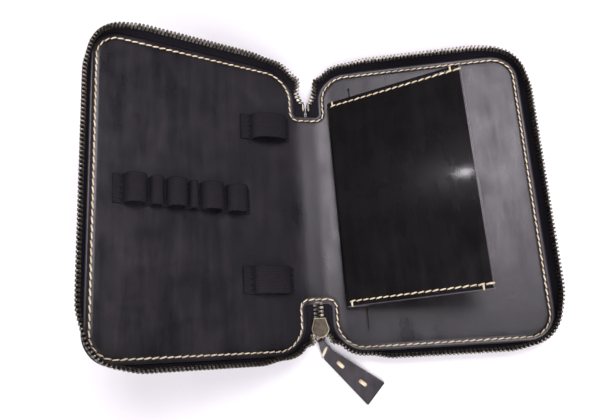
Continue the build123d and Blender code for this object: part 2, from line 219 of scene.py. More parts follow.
# ---- materials ----
def leather(name, deep, worn, edge, rough, grain=1.0, gloss=0.0, mottle=0.5, bump=0.25, specular=0.5):
    """Vegetable-tanned cowhide, dyed and waxed.

    deep and worn are its colours in the grain's hollows and where wax has rubbed off; edge is the
    cut and burnished rim, which a maker slicks to a paler, smoother line. On the puller the pale worn
    colour is partly painted sheen, and on the notebook the pale edge is partly a painted highlight.
    rough gives the least and most roughness: hand-rubbed wax leaves cloudy patches some 15 mm across.
    """
    material, tree, shader, place = new_material(name)
    cloud = noise(tree, place, 46.0, 4.0, distortion=0.3)
    stretched = add(tree, "ShaderNodeMapping", {"Vector": place, "Scale": (3.0, 0.45, 3.0)}).outputs[0]
    streaks = noise(tree, stretched, 40.0, 5.0, 0.6)
    patches = add(tree, "ShaderNodeMix", {0: 0.5, 2: cloud, 3: streaks}).outputs[0]
    rubbed = spread(tree, patches, 0.38, 0.64)
    cells = add(tree, "ShaderNodeTexVoronoi", {"Vector": place, "Scale": 1150.0 / grain}, feature="DISTANCE_TO_EDGE")
    pores = spread(tree, cells.outputs["Distance"], 0.0, 0.22)
    creases = noise(tree, place, 420.0 / grain, 6.0, 0.7)
    body = mix(tree, spread(tree, rubbed, 0.0, 1.0, 0.0, mottle), deep, worn)
    speckled = mix(tree, 1.0, body, spread(tree, creases, 0.35, 0.65, 0.86, 1.1), "MULTIPLY")
    tree.links.new(spread(tree, rubbed, 0.0, 1.0, *rough), shader.inputs["Roughness"])
    shader.inputs["Specular IOR Level"].default_value = specular
    shader.inputs["Coat Weight"].default_value = gloss
    shader.inputs["Coat Roughness"].default_value = 0.1
    fine = add(tree, "ShaderNodeMix", {0: 0.5, 2: pores, 3: creases}).outputs[0]
    wave = relief(tree, cloud, 0.22, 0.0009, Normal=relief(tree, fine, bump, 0.00012))
    dress(tree, shader, mix(tree, rim_share(tree), speckled, edge), wave)
    return material


def thread_material(name, light, dark, soak):
    """Waxed linen thread, laid up from three strands: slanted ridges, and soaked darker at its holes."""
    material, tree, shader, place = new_material(name)
    sockets = {"Vector": place, "Scale": 420.0, "Distortion": 1.5, "Detail": 2.0}
    strand = add(tree, "ShaderNodeTexWave", sockets, bands_direction="DIAGONAL").outputs[0]
    worn = spread(tree, noise(tree, place, 180.0, 3.0), 0.35, 0.7, 0.0, 0.55)
    shader.inputs["Roughness"].default_value = 0.6
    shader.inputs["Specular IOR Level"].default_value = 0.2
    base = mix(tree, rim_share(tree), mix(tree, worn, light, dark), soak)
    dress(tree, shader, base, relief(tree, strand, 0.5, 0.0001))
    return material


def woven_material(name, warp, weft, threads, ribs, rough, depth):
    """A narrow woven tape: threads per mm across it, with ribs where every few threads are raised.

    It reads the piece's own UV map, whose u runs along the tape and v across it, in metres.
    """
    material, tree, shader, place = new_material(name)
    uv = add(tree, "ShaderNodeUVMap", uv_map="tape").outputs[0]
    cells = add(tree, "ShaderNodeMapping", {"Vector": uv, "Scale": (threads * 1000, threads * 1000, 1.0)}).outputs[0]
    weave = add(tree, "ShaderNodeTexChecker", {"Vector": cells, "Scale": 1.0, "Color1": warp, "Color2": weft})
    split = add(tree, "ShaderNodeSeparateXYZ", {0: uv})
    wave = add(tree, "ShaderNodeMath", {0: split.outputs[1], 1: ribs * 2000 * pi}, operation="MULTIPLY")
    ridge = add(tree, "ShaderNodeMath", {0: wave.outputs[0]}, operation="SINE").outputs[0]
    fuzz = spread(tree, noise(tree, place, 900.0, 4.0), 0.3, 0.7, 0.75, 1.25)
    shade_of = mix(tree, 1.0, weave.outputs[0], fuzz, "MULTIPLY")
    # the grooves between the raised ribs are darkened in colour: painted shade
    rib_grooves_shaded = mix(tree, 1.0, shade_of, spread(tree, ridge, -1.0, 0.2, 0.78), "MULTIPLY")
    shader.inputs["Roughness"].default_value = rough
    shader.inputs["Specular IOR Level"].default_value = 0.12
    height = add(tree, "ShaderNodeMath", {0: ridge, 1: weave.outputs["Fac"]}, operation="ADD").outputs[0]
    dress(tree, shader, rib_grooves_shaded, relief(tree, height, depth, 0.00012))
    return material


def brass_material(name, bright, patina, polished, rough):
    """Antique brass, plated dark and tumbled so that only the raised faces shine through."""
    material, tree, shader, place = new_material(name)
    stain = noise(tree, place, 330.0, 5.0, 0.65)
    scuff = noise(tree, place, 1500.0, 3.0)
    metal = mix(tree, spread(tree, stain, 0.35, 0.62, 0.1, 0.9), patina, bright)
    shader.inputs["Metallic"].default_value = 1.0
    tree.links.new(spread(tree, scuff, 0.3, 0.7, rough - 0.1, rough + 0.12), shader.inputs["Roughness"])
    dress(tree, shader, mix(tree, rim_share(tree), metal, polished), relief(tree, stain, 0.3, 0.0001))
    return material


def floor_material():
    """Matt white paper sweep, with the faintest cloudiness."""
    material, tree, shader, place = new_material("paper_sweep")
    tone = mix(tree, noise(tree, place, 3.0, 2.0), colour("#fbfbfb"), colour("#ffffff"))
    tree.links.new(tone, shader.inputs["Base Color"])
    shader.inputs["Roughness"].default_value = 0.9
    shader.inputs["Specular IOR Level"].default_value = 0.1
    return material


def make_materials(look):
    """Every material of the case, by a short name."""
    dark = [colour(shade_of) for shade_of in ("#0d0c0e", "#070708", "#040404")]
    return {
        # soft matt black with coarse grain: the outside, seen from behind and underneath
        "cover": leather(
            "waxed_cowhide_cover", look.cover, colour("#2a2624"), colour("#3c3633"), (0.5, 0.62), grain=1.2
        ),
        # charcoal with cloudy patches that catch the light, and a paler burnished edge
        "lining": leather(
            "burnished_cowhide_lining", look.lining, colour("#282328"), colour("#3f393f"), (0.26, 0.44), mottle=0.6
        ),
        # the blackest and smoothest leather, with one sharp glint; its pale cut edge is partly a painted highlight
        "notebook": leather(
            "glazed_calf_notebook", look.notebook, colour("#151214"), colour("#544e53"), (0.2, 0.36),
            grain=0.8, gloss=0.32, bump=0.12, specular=0.38,
        ),
        # the same hide as the lining, more handled: strong mottling whose pale grey is partly painted sheen, and a
        # black edge
        "puller": leather(
            "waxed_cowhide_puller", look.lining, colour("#3a363a"), dark[0], (0.3, 0.5), mottle=1.0, bump=0.3
        ),
        # cream seams, the brightest line on the case, browned at every hole
        "thread": thread_material("waxed_linen_thread", look.thread, colour("#b89c66"), colour("#6b4d2c")),
        # black tacks that are only felt as small bumps on the elastic
        "tack": thread_material("polyester_tacking_thread", *dark),
        # a dull ribbed band between the leather and the teeth
        "tape": woven_material("polyester_zip_tape_woven", look.tape, colour("#121115"), 1.1, 0.45, 0.75, 0.4),
        # a softer, browner weave with fine cords along it
        "elastic": woven_material("rubber_cored_elastic_woven", look.elastic, colour("#1b191d"), 1.4, 0.55, 0.8, 0.25),
        # pale old metal that makes the row of teeth sparkle
        "brass": brass_material("antique_brass_teeth", look.teeth, colour("#3b3831"), colour("#a39d8b"), 0.36),
        # darker cast metal with a worn bright rim
        "slider": brass_material("antique_brass_cast_slider", look.brass, colour("#4c433a"), colour("#a39a83"), 0.45),
    }


# ---- meshes ----
def placed_in_scene(name, data, material=None):
    """A new object in the scene."""
    made = bpy.data.objects.new(name, data)
    bpy.context.scene.collection.objects.link(made)
    if material:
        data.materials.append(material)
    return made


def mesh_object(name, verts, faces, material=None):
    """A new object from points in metres and faces."""
    mesh = bpy.data.meshes.new(name)
    mesh.from_pydata([tuple(v) for v in verts], [], faces)
    mesh.validate()
    mesh.polygons.foreach_set("use_smooth", [True] * len(mesh.polygons))
    return placed_in_scene(name, mesh, material)


def bake(made):
    """Replaces an object's mesh by the result of its modifiers and removes them."""
    graph = bpy.context.evaluated_depsgraph_get()
    mesh = bpy.data.meshes.new_from_object(made.evaluated_get(graph), depsgraph=graph)
    materials = list(made.data.materials)
    made.modifiers.clear()
    made.data = mesh
    if not len(mesh.materials):
        for material in materials:
            mesh.materials.append(material)
    return made


def move(made, mapping):
    """Moves every vertex of an object through a mapping to metres."""
    mesh = made.data
    flat = np.empty(len(mesh.vertices) * 3)
    mesh.vertices.foreach_get("co", flat)
    mesh.vertices.foreach_set("co", mapping(flat.reshape(-1, 3)).ravel())
    mesh.update()
    return made


def shade(made, angle=40):
    """Smooth faces, parted where they meet at more than the angle."""
    made.data.polygons.foreach_set("use_smooth", [True] * len(made.data.polygons))
    made.data.set_sharp_from_angle(angle=radians(angle))
    return made


def face_out(mesh, cut_up=False):
    """Turns all faces outwards; the many-sided ones can be cut up into triangles."""
    bm = bmesh.new()
    bm.from_mesh(mesh)
    bmesh.ops.recalc_face_normals(bm, faces=bm.faces)
    if cut_up:
        bmesh.ops.triangulate(bm, faces=[f for f in bm.faces if len(f.verts) > 4])
    bm.to_mesh(mesh)
    bm.free()


def give_rim(mesh, values):
    """Writes the rim attribute that the materials read."""
    mesh.attributes.new("rim", "FLOAT", "POINT").data.foreach_set("value", np.asarray(values, float))


def ring_faces(count, size):
    """Quads between rings of equally many points, and a cap on each end."""
    faces = [
        (n * size + m, n * size + (m + 1) % size, (n + 1) * size + (m + 1) % size, (n + 1) * size + m)
        for n in range(count - 1)
        for m in range(size)
    ]
    return faces + [tuple(range(size))[::-1], tuple((count - 1) * size + m for m in range(size))]


def arc(centre, radius, start, end, steps):
    """Points round an arc, angles in degrees."""
    turns = [radians(start + (end - start) * n / steps) for n in range(steps + 1)]
    return [(centre[0] + radius * cos(a), centre[1] + radius * sin(a)) for a in turns]


def rounded(low, high, radius, steps=5):
    """A rectangle with round corners, counter-clockwise."""
    x0, y0, x1, y1 = low[0] + radius, low[1] + radius, high[0] - radius, high[1] - radius
    centres = ((x1, y1), (x0, y1), (x0, y0), (x1, y0))
    return [spot for n, centre in enumerate(centres) for spot in arc(centre, radius, 90 * n, 90 * n + 90, steps)]


def quarter(grow):
    """A quarter of the cover's outline, grow mm outside the seam, from the notch to the side."""
    turn = arc((NOTCH_HALF - NOTCH_TURN, NOTCH_FLOOR + NOTCH_TURN), NOTCH_TURN - grow, -90, 0, 8)
    notch = arc((NOTCH_HALF + NOTCH_RADIUS, SEAM_TOP - NOTCH_RADIUS), NOTCH_RADIUS + grow, 180, 90, 22)
    corner = arc((HALF_WIDTH - CORNER, SEAM_TOP - CORNER), CORNER + grow, 90, 0, 16)
    return [*turn, *notch, *corner]


def outline(grow):
    """The whole cover's outline, the same number of points whatever it grows by."""
    one = quarter(grow)
    right = one + [(t, -y) for t, y in reversed(one)]
    return right + [(-t, y) for t, y in reversed(right)]


def panel(name, profile, side, material, slit=None):
    """One half of a leather skin with half the spine, closed, its rim turned by a profile of (grow, z).

    side is 1 for the back half, -1 for the front half. The rim attribute is 1 on the cut edge.
    """
    bm = bmesh.new()
    rim = bm.verts.layers.float.new("rim")
    loops = []
    for grow, z in profile:
        ring = [bm.verts.new((t, y, z)) for t, y in outline(grow)]
        for vert in ring:
            vert[rim] = smooth(grow, 2.4, 2.9)
        loops.append(ring)
    for first, second in zip(loops, loops[1:]):
        for n in range(len(first)):
            after = (n + 1) % len(first)
            bm.faces.new((first[n], first[after], second[after], second[n]))
    bm.faces.new(loops[0])
    bm.faces.new(loops[-1][::-1])

    def part(t, way, **more):
        whole = bm.verts[:] + bm.edges[:] + bm.faces[:]
        bmesh.ops.bisect_plane(bm, geom=whole, plane_co=(t, 0, 0), plane_no=(way, 0, 0), **more)

    # every mm where the spine bends, every 12 mm elsewhere
    for t in [n * 1.0 for n in range(-22, 23) if n] + [m * 12.0 for m in range(-12, 13) if abs(m) > 1]:
        part(t, 1)
    part(0, side, clear_inner=True)
    bmesh.ops.holes_fill(bm, edges=[e for e in bm.edges if e.is_boundary], sides=0)
    bmesh.ops.triangulate(bm, faces=[f for f in bm.faces if len(f.verts) > 4])
    bmesh.ops.recalc_face_normals(bm, faces=bm.faces)
    mesh = bpy.data.meshes.new(name)
    bm.to_mesh(mesh)
    bm.free()
    made = placed_in_scene(name, mesh, material)
    if slit:
        low, high = slit
        corners = [(x, y, z) for z in (low[2], high[2]) for y in (low[1], high[1]) for x in (low[0], high[0])]
        faces = [(0, 2, 3, 1), (4, 5, 7, 6), (0, 1, 5, 4), (2, 6, 7, 3), (0, 4, 6, 2), (1, 3, 7, 5)]
        cut = made.modifiers.new("slit", "BOOLEAN")
        cut.operation, cut.solver = "DIFFERENCE", "EXACT"
        cut.object = mesh_object("slit_cutter", corners, faces)
        cutter = cut.object
        bake(made)
        bpy.data.objects.remove(cutter)
    return shade(move(made, fold), 50)


def sweep(name, sections, material, rims=None):
    """A closed skin through sections of equally many points, in metres, with a UV map in metres.

    rims gives the rim attribute of each point of a section.
    """
    sections = np.asarray(sections, float)
    count, size = sections.shape[:2]
    along = np.concatenate([[0], np.cumsum(np.linalg.norm(np.diff(sections.mean(1), axis=0), axis=1))])
    ring = sections[count // 2]
    across = np.concatenate([[0], np.cumsum(np.linalg.norm(np.diff(np.vstack([ring, ring[:1]]), axis=0), axis=1))])
    uvs = [
        (along[n + a], across[m + b])
        for n in range(count - 1)
        for m in range(size)
        for a, b in ((0, 0), (0, 1), (1, 1), (1, 0))
    ]
    uvs += [(0.0, across[m]) for m in reversed(range(size))] + [(along[-1], across[m]) for m in range(size)]
    made = mesh_object(name, sections.reshape(-1, 3), ring_faces(count, size), material)
    made.data.uv_layers.new(name="tape").data.foreach_set("uv", np.asarray(uvs, float).ravel())
    if rims is not None:
        give_rim(made.data, np.tile(rims, count))
    face_out(made.data)
    return shade(made, 50)


def inset(points, distance):
    """A closed outline moved inwards by a distance."""
    ring = np.asarray(points, float)
    ahead, behind = np.roll(ring, -1, 0) - ring, ring - np.roll(ring, 1, 0)
    tangent = unit(unit(ahead) + unit(behind))
    area = np.sum(ring[:, 0] * np.roll(ring[:, 1], -1) - np.roll(ring[:, 0], -1) * ring[:, 1])
    inward = np.column_stack([-tangent[:, 1], tangent[:, 0]]) * (1 if area > 0 else -1)
    return ring + inward * distance


def slab(name, points, profile, mapping, material, rims=None):
    """A closed piece of a plan outline whose rim follows a profile of (inset, z), bottom to top."""
    verts = [(x, y, z) for depth, z in profile for x, y in inset(points, depth)]
    made = mesh_object(name, mapping(verts), ring_faces(len(profile), len(points)), material)
    if rims is not None:
        give_rim(made.data, np.repeat(rims, len(points)))
    face_out(made.data, cut_up=True)
    return shade(made, 45)


def join(name, parts):
    """One object from several, keeping their attributes and first material slots."""
    first = parts[0]
    chosen = {"active_object": first, "object": first, "selected_editable_objects": parts, "selected_objects": parts}
    with bpy.context.temp_override(**chosen):
        bpy.ops.object.join()
    first.name = name
    first.data.name = name
    return first


# ---- pieces repeated along a path, by Geometry Nodes ----
REPEAT = "Set along a path"


def repeat_tree():
    """A tree that sets a piece along a path at an even pitch.

    The path's points carry outward, the piece's x, and facing, its z. Slant turns each piece about
    its z, and Unevenness turns and sizes each a little differently, from a fixed seed.
    """
    tree = bpy.data.node_groups.new(REPEAT, "GeometryNodeTree")
    for name, kind in (
        ("Path", "Geometry"),
        ("Piece", "Object"),
        ("Pitch", "Float"),
        ("Slant", "Float"),
        ("Unevenness", "Float"),
        ("Seed", "Int"),
        ("Material", "Material"),
    ):
        tree.interface.new_socket(name, in_out="INPUT", socket_type=f"NodeSocket{kind}")
    tree.interface.new_socket("Pieces", in_out="OUTPUT", socket_type="NodeSocketGeometry")
    given = add(tree, "NodeGroupInput").outputs
    curve = add(tree, "GeometryNodeMeshToCurve", {"Mesh": given["Path"]}).outputs[0]
    even = add(tree, "GeometryNodeResampleCurve", {"Curve": curve, "Length": given["Pitch"]}, mode="LENGTH")
    outward, facing = (
        add(tree, "GeometryNodeInputNamedAttribute", {"Name": name}, data_type="FLOAT_VECTOR").outputs[0]
        for name in ("outward", "facing")
    )
    directions = {"Primary Axis": facing, "Secondary Axis": outward}
    axes = add(tree, "FunctionNodeAxesToRotation", directions, primary_axis="Z", secondary_axis="X")
    less = add(tree, "ShaderNodeMath", {0: given["Unevenness"], 1: -1.0}, operation="MULTIPLY")
    spans = {2: less.outputs[0], 3: given["Unevenness"], "Seed": given["Seed"]}
    wander = add(tree, "FunctionNodeRandomValue", spans).outputs[1]
    slant = add(tree, "ShaderNodeMath", {0: given["Slant"], 1: wander}, operation="ADD")
    turn = add(tree, "ShaderNodeCombineXYZ", {2: slant.outputs[0]})
    euler = add(tree, "FunctionNodeEulerToRotation", {0: turn.outputs[0]})
    both = {0: axes.outputs[0], 1: euler.outputs[0]}
    turned = add(tree, "FunctionNodeRotateRotation", both, rotation_space="LOCAL")
    size = add(tree, "ShaderNodeMath", {0: wander, 1: 1.0}, operation="ADD")
    piece = add(tree, "GeometryNodeObjectInfo", {"Object": given["Piece"]})
    settings = {"Instance": piece.outputs["Geometry"], "Rotation": turned.outputs[0], "Scale": size.outputs[0]}
    placed = add(tree, "GeometryNodeInstanceOnPoints", {"Points": even.outputs[0], **settings})
    real = add(tree, "GeometryNodeRealizeInstances", {0: placed.outputs[0]})
    dressed = add(tree, "GeometryNodeSetMaterial", {"Geometry": real.outputs[0], "Material": given["Material"]})
    add(tree, "NodeGroupOutput", {0: dressed.outputs[0]})
    return tree


def path_object(name, points, mapping):
    """Edges through flat points (t, y, z, outward t, y, z, facing t, y, z), with their directions mapped too."""
    rows = np.asarray(points, float)
    step = 0.01
    base = mapping(rows[:, :3])
    made = bpy.data.meshes.new(name)
    made.from_pydata([tuple(v) for v in base], [(n, n + 1) for n in range(len(rows) - 1)], [])
    for label, columns in (("outward", rows[:, 3:6]), ("facing", rows[:, 6:9])):
        ahead = unit(mapping(rows[:, :3] + columns * step) - base)
        made.attributes.new(label, "FLOAT_VECTOR", "POINT").data.foreach_set("vector", ahead.ravel())
    return placed_in_scene(name, made)


def repeat(name, points, mapping, piece, material, pitch, slant=0.0, unevenness=0.0, seed=7):
    """Sets a small piece along a path and bakes the result to a plain mesh."""
    path = path_object(name, points, mapping)
    modifier = path.modifiers.new(REPEAT, "NODES")
    modifier.node_group = bpy.data.node_groups.get(REPEAT) or repeat_tree()
    values = {"Piece": piece, "Pitch": pitch * MM, "Slant": slant, "Unevenness": unevenness, "Seed": seed}
    values["Material"] = material
    for item in modifier.node_group.interface.items_tree:
        if item.in_out == "INPUT" and item.name in values:
            modifier[item.identifier] = values[item.name]
    bake(path)
    if not len(path.data.polygons):
        raise RuntimeError(f"{name} came out empty")
    return shade(path)


def small_piece(name, rings, rims=None):
    """A little closed piece through rings of points in mm, along its x or y, for repeating."""
    verts = [tuple(c * MM for c in point) for ring in rings for point in ring]
    made = mesh_object(name, verts, ring_faces(len(rings), len(rings[0])))
    if rims:
        give_rim(made.data, np.repeat(rims, len(rings[0])))
    face_out(made.data)
    made.hide_render = True
    return made


# along a stitch: share of its length, swelling, lift in widths, and how far the thread is soaked
STITCH = (
    (-0.5, 0.6, -0.4, 0.8), (-0.42, 0.88, -0.1, 0.3), (-0.2, 1.0, 0.12, 0.0),
    (0.2, 1.0, 0.12, 0.0), (0.42, 0.88, -0.1, 0.3), (0.5, 0.6, -0.4, 0.8),
)
STITCH_SIDES = 7
# along a tooth: x and the half sizes in y and z
TOOTH = (
    (-1.9, 0.5, 0.95), (-1.6, 0.74, 1.25), (0.2, 0.8, 1.3), (0.8, 0.76, 1.1),
    (1.2, 0.62, 0.85), (1.8, 0.5, 0.7), (2.0, 0.3, 0.45),
)


def stitch_piece(length, width):
    """One stitch, along y: a soft-backed strand that dips into its holes at both ends."""
    turns = [2 * pi * n / STITCH_SIDES for n in range(STITCH_SIDES)]
    rings = []
    for share, swell, lift, _ in STITCH:
        half = width / 2 * swell
        rings.append([(half * cos(a), share * length, lift * width + half * 0.8 * sin(a)) for a in turns])
    return small_piece("stitch", rings, [soak for *_, soak in STITCH])


def tooth_piece():
    """One metal tooth, along x: legs that grip the tape's edge, and a narrower head."""
    return small_piece("tooth", [[(x, -a, -b), (x, a, -b), (x, a, b), (x, -a, b)] for x, a, b in TOOTH])


def loose_stitch(name, piece, mapping):
    """One stitch by itself, taken to its place by a mapping from mm to metres."""
    made = placed_in_scene(name, piece.data.copy(), MATERIALS["thread"])
    return shade(move(made, lambda points: mapping(points / MM)))


# ---- places shared by several pieces ----
def with_directions(flat, z, facing):
    """Path rows for repeat(), with outward square to the path and facing up or down."""
    return [(t, y, z, a, b, 0, 0, 0, facing) for (t, y), (a, b) in zip(flat, square_to(flat))]


def seam_points(z, facing):
    """The seam's path round the half at +t, from the middle of the spine and back to it."""
    one = [(0.0, NOTCH_FLOOR)] + quarter(0.0)
    return with_directions(one + [(t, -y) for t, y in reversed(one)], z, facing)


def on_side(points, side):
    """Path rows of the half at +t, turned over to the half at -t for side -1."""
    return [(side * p[0], p[1], p[2], side * p[3], p[4], p[5], side * p[6], p[7], p[8]) for p in points]


def zip_stations():
    """The zip tape's sewn line round the half at +t: spot, way out, and how flat it lies (0 to 1)."""
    stations = [((NOTCH_HALF, y), (-1.0, 0.0), 1.0) for y in np.arange(58.0, SEAM_TOP - NOTCH_RADIUS, 1.5)]
    centre = (NOTCH_HALF + NOTCH_RADIUS, SEAM_TOP - NOTCH_RADIUS)
    for turn in np.arange(180.0, 90.0, -2.5):
        way = (cos(radians(turn)), sin(radians(turn)))
        spot = (centre[0] + NOTCH_RADIUS * way[0], centre[1] + NOTCH_RADIUS * way[1])
        stations.append((spot, way, smooth(turn, 134.0, 172.0)))
    turn_t, turn_y = HALF_WIDTH - CORNER, SEAM_TOP - CORNER
    stations += [((t, SEAM_TOP), (0.0, 1.0), 0.0) for t in np.linspace(centre[0], turn_t, 40)]
    for turn in np.arange(84.0, 0.0, -6.0):
        way = (cos(radians(turn)), sin(radians(turn)))
        stations.append(((turn_t + CORNER * way[0], turn_y + CORNER * way[1]), way, 0.0))
    stations += [((HALF_WIDTH, y), (1.0, 0.0), 0.0) for y in np.linspace(turn_y, 0.0, 32)]
    return stations + [((t, -y), (a, -b), lay) for (t, y), (a, b), lay in reversed(stations[:-1])]


def edge_gap(y):
    """How far the tape's edge keeps from the middle of the case, in the two notches."""
    if y > 0:
        return np.interp(y, (64.0, 68.0, 70.0, 73.0, 76.5, 80.0, 86.0), (0.6, 1.5, 1.7, 0.7, 1.3, 4.4, 6.8))
    return np.interp(-y, (76.0, 82.0, 88.0, 92.0), (0.5, 2.3, 4.0, 7.0))


def tape_reach(spot, way, lay):
    """How far out and up the tape's edge is from its sewn line; round every bend the teeth pull it upright."""
    corner = smooth(min(spot[0] - HALF_WIDTH, abs(spot[1]) - SEAM_TOP) + 2 * CORNER, 0.0, 1.6 * CORNER)
    notch = smooth(NOTCH_HALF + 2 * NOTCH_RADIUS - spot[0], 0.0, NOTCH_RADIUS)
    foot = smooth(-spot[1], 60.0, SEAM_TOP)
    pull = CORNER_PULL * corner + NOTCH_PULL * notch + FOOT_PULL * foot
    slope = (WALL_SLOPE + pull) * (1 - lay) + LAID_SLOPE * lay
    out, up = TAPE_WIDTH * cos(slope), TAPE_WIDTH * sin(slope)
    if lay > 0 and way[0] < 0:
        y = spot[1] + way[1] * (out + TAPE_START)
        out = min(out, (spot[0] - edge_gap(y)) / -way[0] - TAPE_START)
    return out, up


def tape_row(spot, way, lay, share):
    """A point of the tape's middle, in flat (t, y, z); shares up to 0 lie between the leathers."""
    out, up = tape_reach(spot, way, lay) if share > 0 else (TAPE_HIDDEN, 0.0)
    reach = TAPE_START + out * share
    return (spot[0] + way[0] * reach, spot[1] + way[1] * reach, TAPE_MIDDLE + up * max(share, 0.0) ** TAPE_RISE)


# across the tape: share of its showing width and half its thickness, up to the bead
TAPE_SECTION = (
    (-0.55, 0.45), (-0.05, 0.45), (0.1, 0.42), (0.3, 0.4), (0.55, 0.4),
    (0.8, 0.4), (0.9, 0.45), (0.95, 0.75), (1.02, 0.8),
)


def tape_object(name, side, material):
    """One stringer's tape, from between the leathers up and out to the bead that holds the teeth."""
    half = np.asarray([h for _, h in TAPE_SECTION])[:, None]
    sections = []
    for spot, way, lay in zip_stations():
        middle = np.asarray([tape_row(spot, way, lay, share) for share, _ in TAPE_SECTION])
        ahead = np.gradient(middle, axis=0)
        along = unit(np.column_stack([ahead @ np.array([way[0], way[1], 0]), ahead[:, 2]]))
        normal = np.column_stack([-along[:, 1] * way[0], -along[:, 1] * way[1], along[:, 0]])
        ring = np.vstack([middle + normal * half, (middle - normal * half)[::-1]])
        ring[:, 0] *= side
        sections.append(fold(ring))
    return sweep(name, sections, material)


TEETH_TOP, TEETH_LOW = 79.0, -88.5  # y where the open rows start and end, in the notches
TOOTH_OUT = 0.35  # how far the teeth stand out over the tape's edge


def teeth_points():
    """The open row of teeth on the +t stringer, as path rows."""
    rows = []
    for spot, way, lay in zip_stations():
        out, up = tape_reach(spot, way, lay)
        length = (out * out + up * up) ** 0.5
        flat, rise = out / length, up / length
        t, y, z = tape_row(spot, way, lay, 1.0)
        if t < NOTCH_HALF + 4 and (y < TEETH_TOP if y > 0 else y > TEETH_LOW):
            continue
        place = (t + way[0] * flat * TOOTH_OUT, y + way[1] * flat * TOOTH_OUT, z + rise * TOOTH_OUT)
        rows.append((*place, way[0] * flat, way[1] * flat, rise, -way[0] * rise, -way[1] * rise, flat))
    return rows


def across_fold(made, side, slot_name, *nodes):
    """Bakes a piece's place into its mesh and hides the nodes that it stands for."""
    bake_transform(made)
    stands_for(made, slot_name, *nodes)


def stands_for(made, slot_name, *nodes):
    """Hides the nodes that a piece replaces."""
    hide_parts(*nodes)


SIDES = ((1, "back"), (-1, "front"))
MATERIALS = {}


# ---- settings ----
def tint(name, description, value):
    """A colour that can be set in the sidebar."""
    return FloatVectorProperty(name=name, description=description, subtype="COLOR", size=4, default=colour(value))


def measure(name, description, value):
    """A length that can be set in the sidebar."""
    return FloatProperty(name=name, description=description, unit="LENGTH", default=value)


class PENCASE_PG_look(bpy.types.PropertyGroup):
    """Colours of the case."""

    cover: tint("Cover", "Outer leather", "#1a1716")
    lining: tint("Lining", "Lining leather", "#141217")
    notebook: tint("Notebook", "Notebook cover", "#0d0b0c")
    thread: tint("Thread", "Waxed thread", "#ebe0c4")
    tape: tint("Tape", "Zip tape", "#1c1b21")
    elastic: tint("Elastic", "Pen loops and straps", "#262328")
    teeth: tint("Teeth", "Zip teeth and stops", "#a49e90")
    brass: tint("Brass", "Slider and ring", "#686255")


class PENCASE_PG_sizes(bpy.types.PropertyGroup):
    """Sizes of the small repeated work, in metres."""

    stitch_pitch: measure("Stitch pitch", "From one seam stitch to the next", 0.0045)
    thread_width: measure("Thread width", "Thickness of the seam thread", 0.00096)
    tooth_pitch: measure("Tooth pitch", "From one zip tooth to the next", 0.0026)
    seed: IntProperty(name="Seed", description="Seed of the hand-sewn unevenness", default=7)


class PieceOperator:
    """What every operator of the case shares."""

    bl_options = {"REGISTER", "UNDO"}

    @property
    def sizes(self):
        return bpy.context.scene.pen_case_sizes


class PENCASE_OT_materials(PieceOperator, bpy.types.Operator):
    """Makes every leather, cloth, thread and metal of the case"""

    bl_idname = "pencase.materials"
    bl_label = "Materials"

    def execute(self, context):
        MATERIALS.update(make_materials(context.scene.pen_case_look))
        return {"FINISHED"}


# the rims of both skins, as (grow, z), with the groove that the seam lies in
LINING_PROFILE = (
    (-5.0, 4.6), (-2.2, 4.6), (-1.0, 4.5), (-0.5, 4.25), (0.0, 4.05), (0.5, 4.25), (1.0, 4.5), (1.9, 4.6),
    (2.5, 4.56), (2.95, 4.4), (3.2, 4.05), (3.2, 3.45), (3.0, 3.05), (2.5, 3.0), (-5.0, 3.0),
)
OUTER_PROFILE = (
    (-5.0, 2.0), (2.5, 2.0), (3.0, 1.9), (3.2, 1.5), (3.2, 0.55), (2.95, 0.2), (2.4, 0.03), (1.8, 0.0),
    (1.0, 0.08), (0.55, 0.45), (0.0, 0.7), (-0.55, 0.45), (-1.0, 0.08), (-2.0, 0.0), (-5.0, 0.0),
)
SLIT = ((31.9, -86.5, 2.0), (33.3, 88.5, 6.0))  # for the notebook's tucked leaf


class PENCASE_OT_leather(PieceOperator, bpy.types.Operator):
    """Builds the outer leather and the lining, each in two halves that meet in the middle of the spine"""

    bl_idname = "pencase.leather"
    bl_label = "Cover and lining"

    def execute(self, context):
        for side, half in SIDES:
            outer = panel(f"outer_skin_{half}", OUTER_PROFILE, side, MATERIALS["cover"])
            nodes = [f"outer_leather_{half}"] + ["outer_leather_spine"] * (side > 0)
            across_fold(outer, side, "cover_leather", *nodes)
            slit = SLIT if side > 0 else None
            lining = panel(f"lining_skin_{half}", LINING_PROFILE, side, MATERIALS["lining"], slit)
            nodes = [f"lining_{half}"] + ["lining_spine"] * (side > 0)
            across_fold(lining, side, "lining_leather", *nodes)
        return {"FINISHED"}


CLOSED_TEETH = 5  # on each side
CLOSED_TOP = -67.6  # y of the first of them
CLOSED_OUT = 1.75  # t of their middles
STOP_OUT, STOP_RADIUS = 1.95, 1.05  # t and radius of the top stops
STOP_PROFILE = ((0.35, 1.9), (0.0, 2.2), (0.0, 4.5), (0.2, 4.85), (0.5, 5.0))
BOTTOM_STOP = ((-3.0, -67.1), (-2.7, -66.2), (2.7, -66.2), (3.0, -67.1), (3.0, -67.5), (-3.0, -67.5))
BOTTOM_STOP_PROFILE = ((0.2, 2.0), (0.0, 2.2), (0.0, 4.4), (0.25, 4.7))


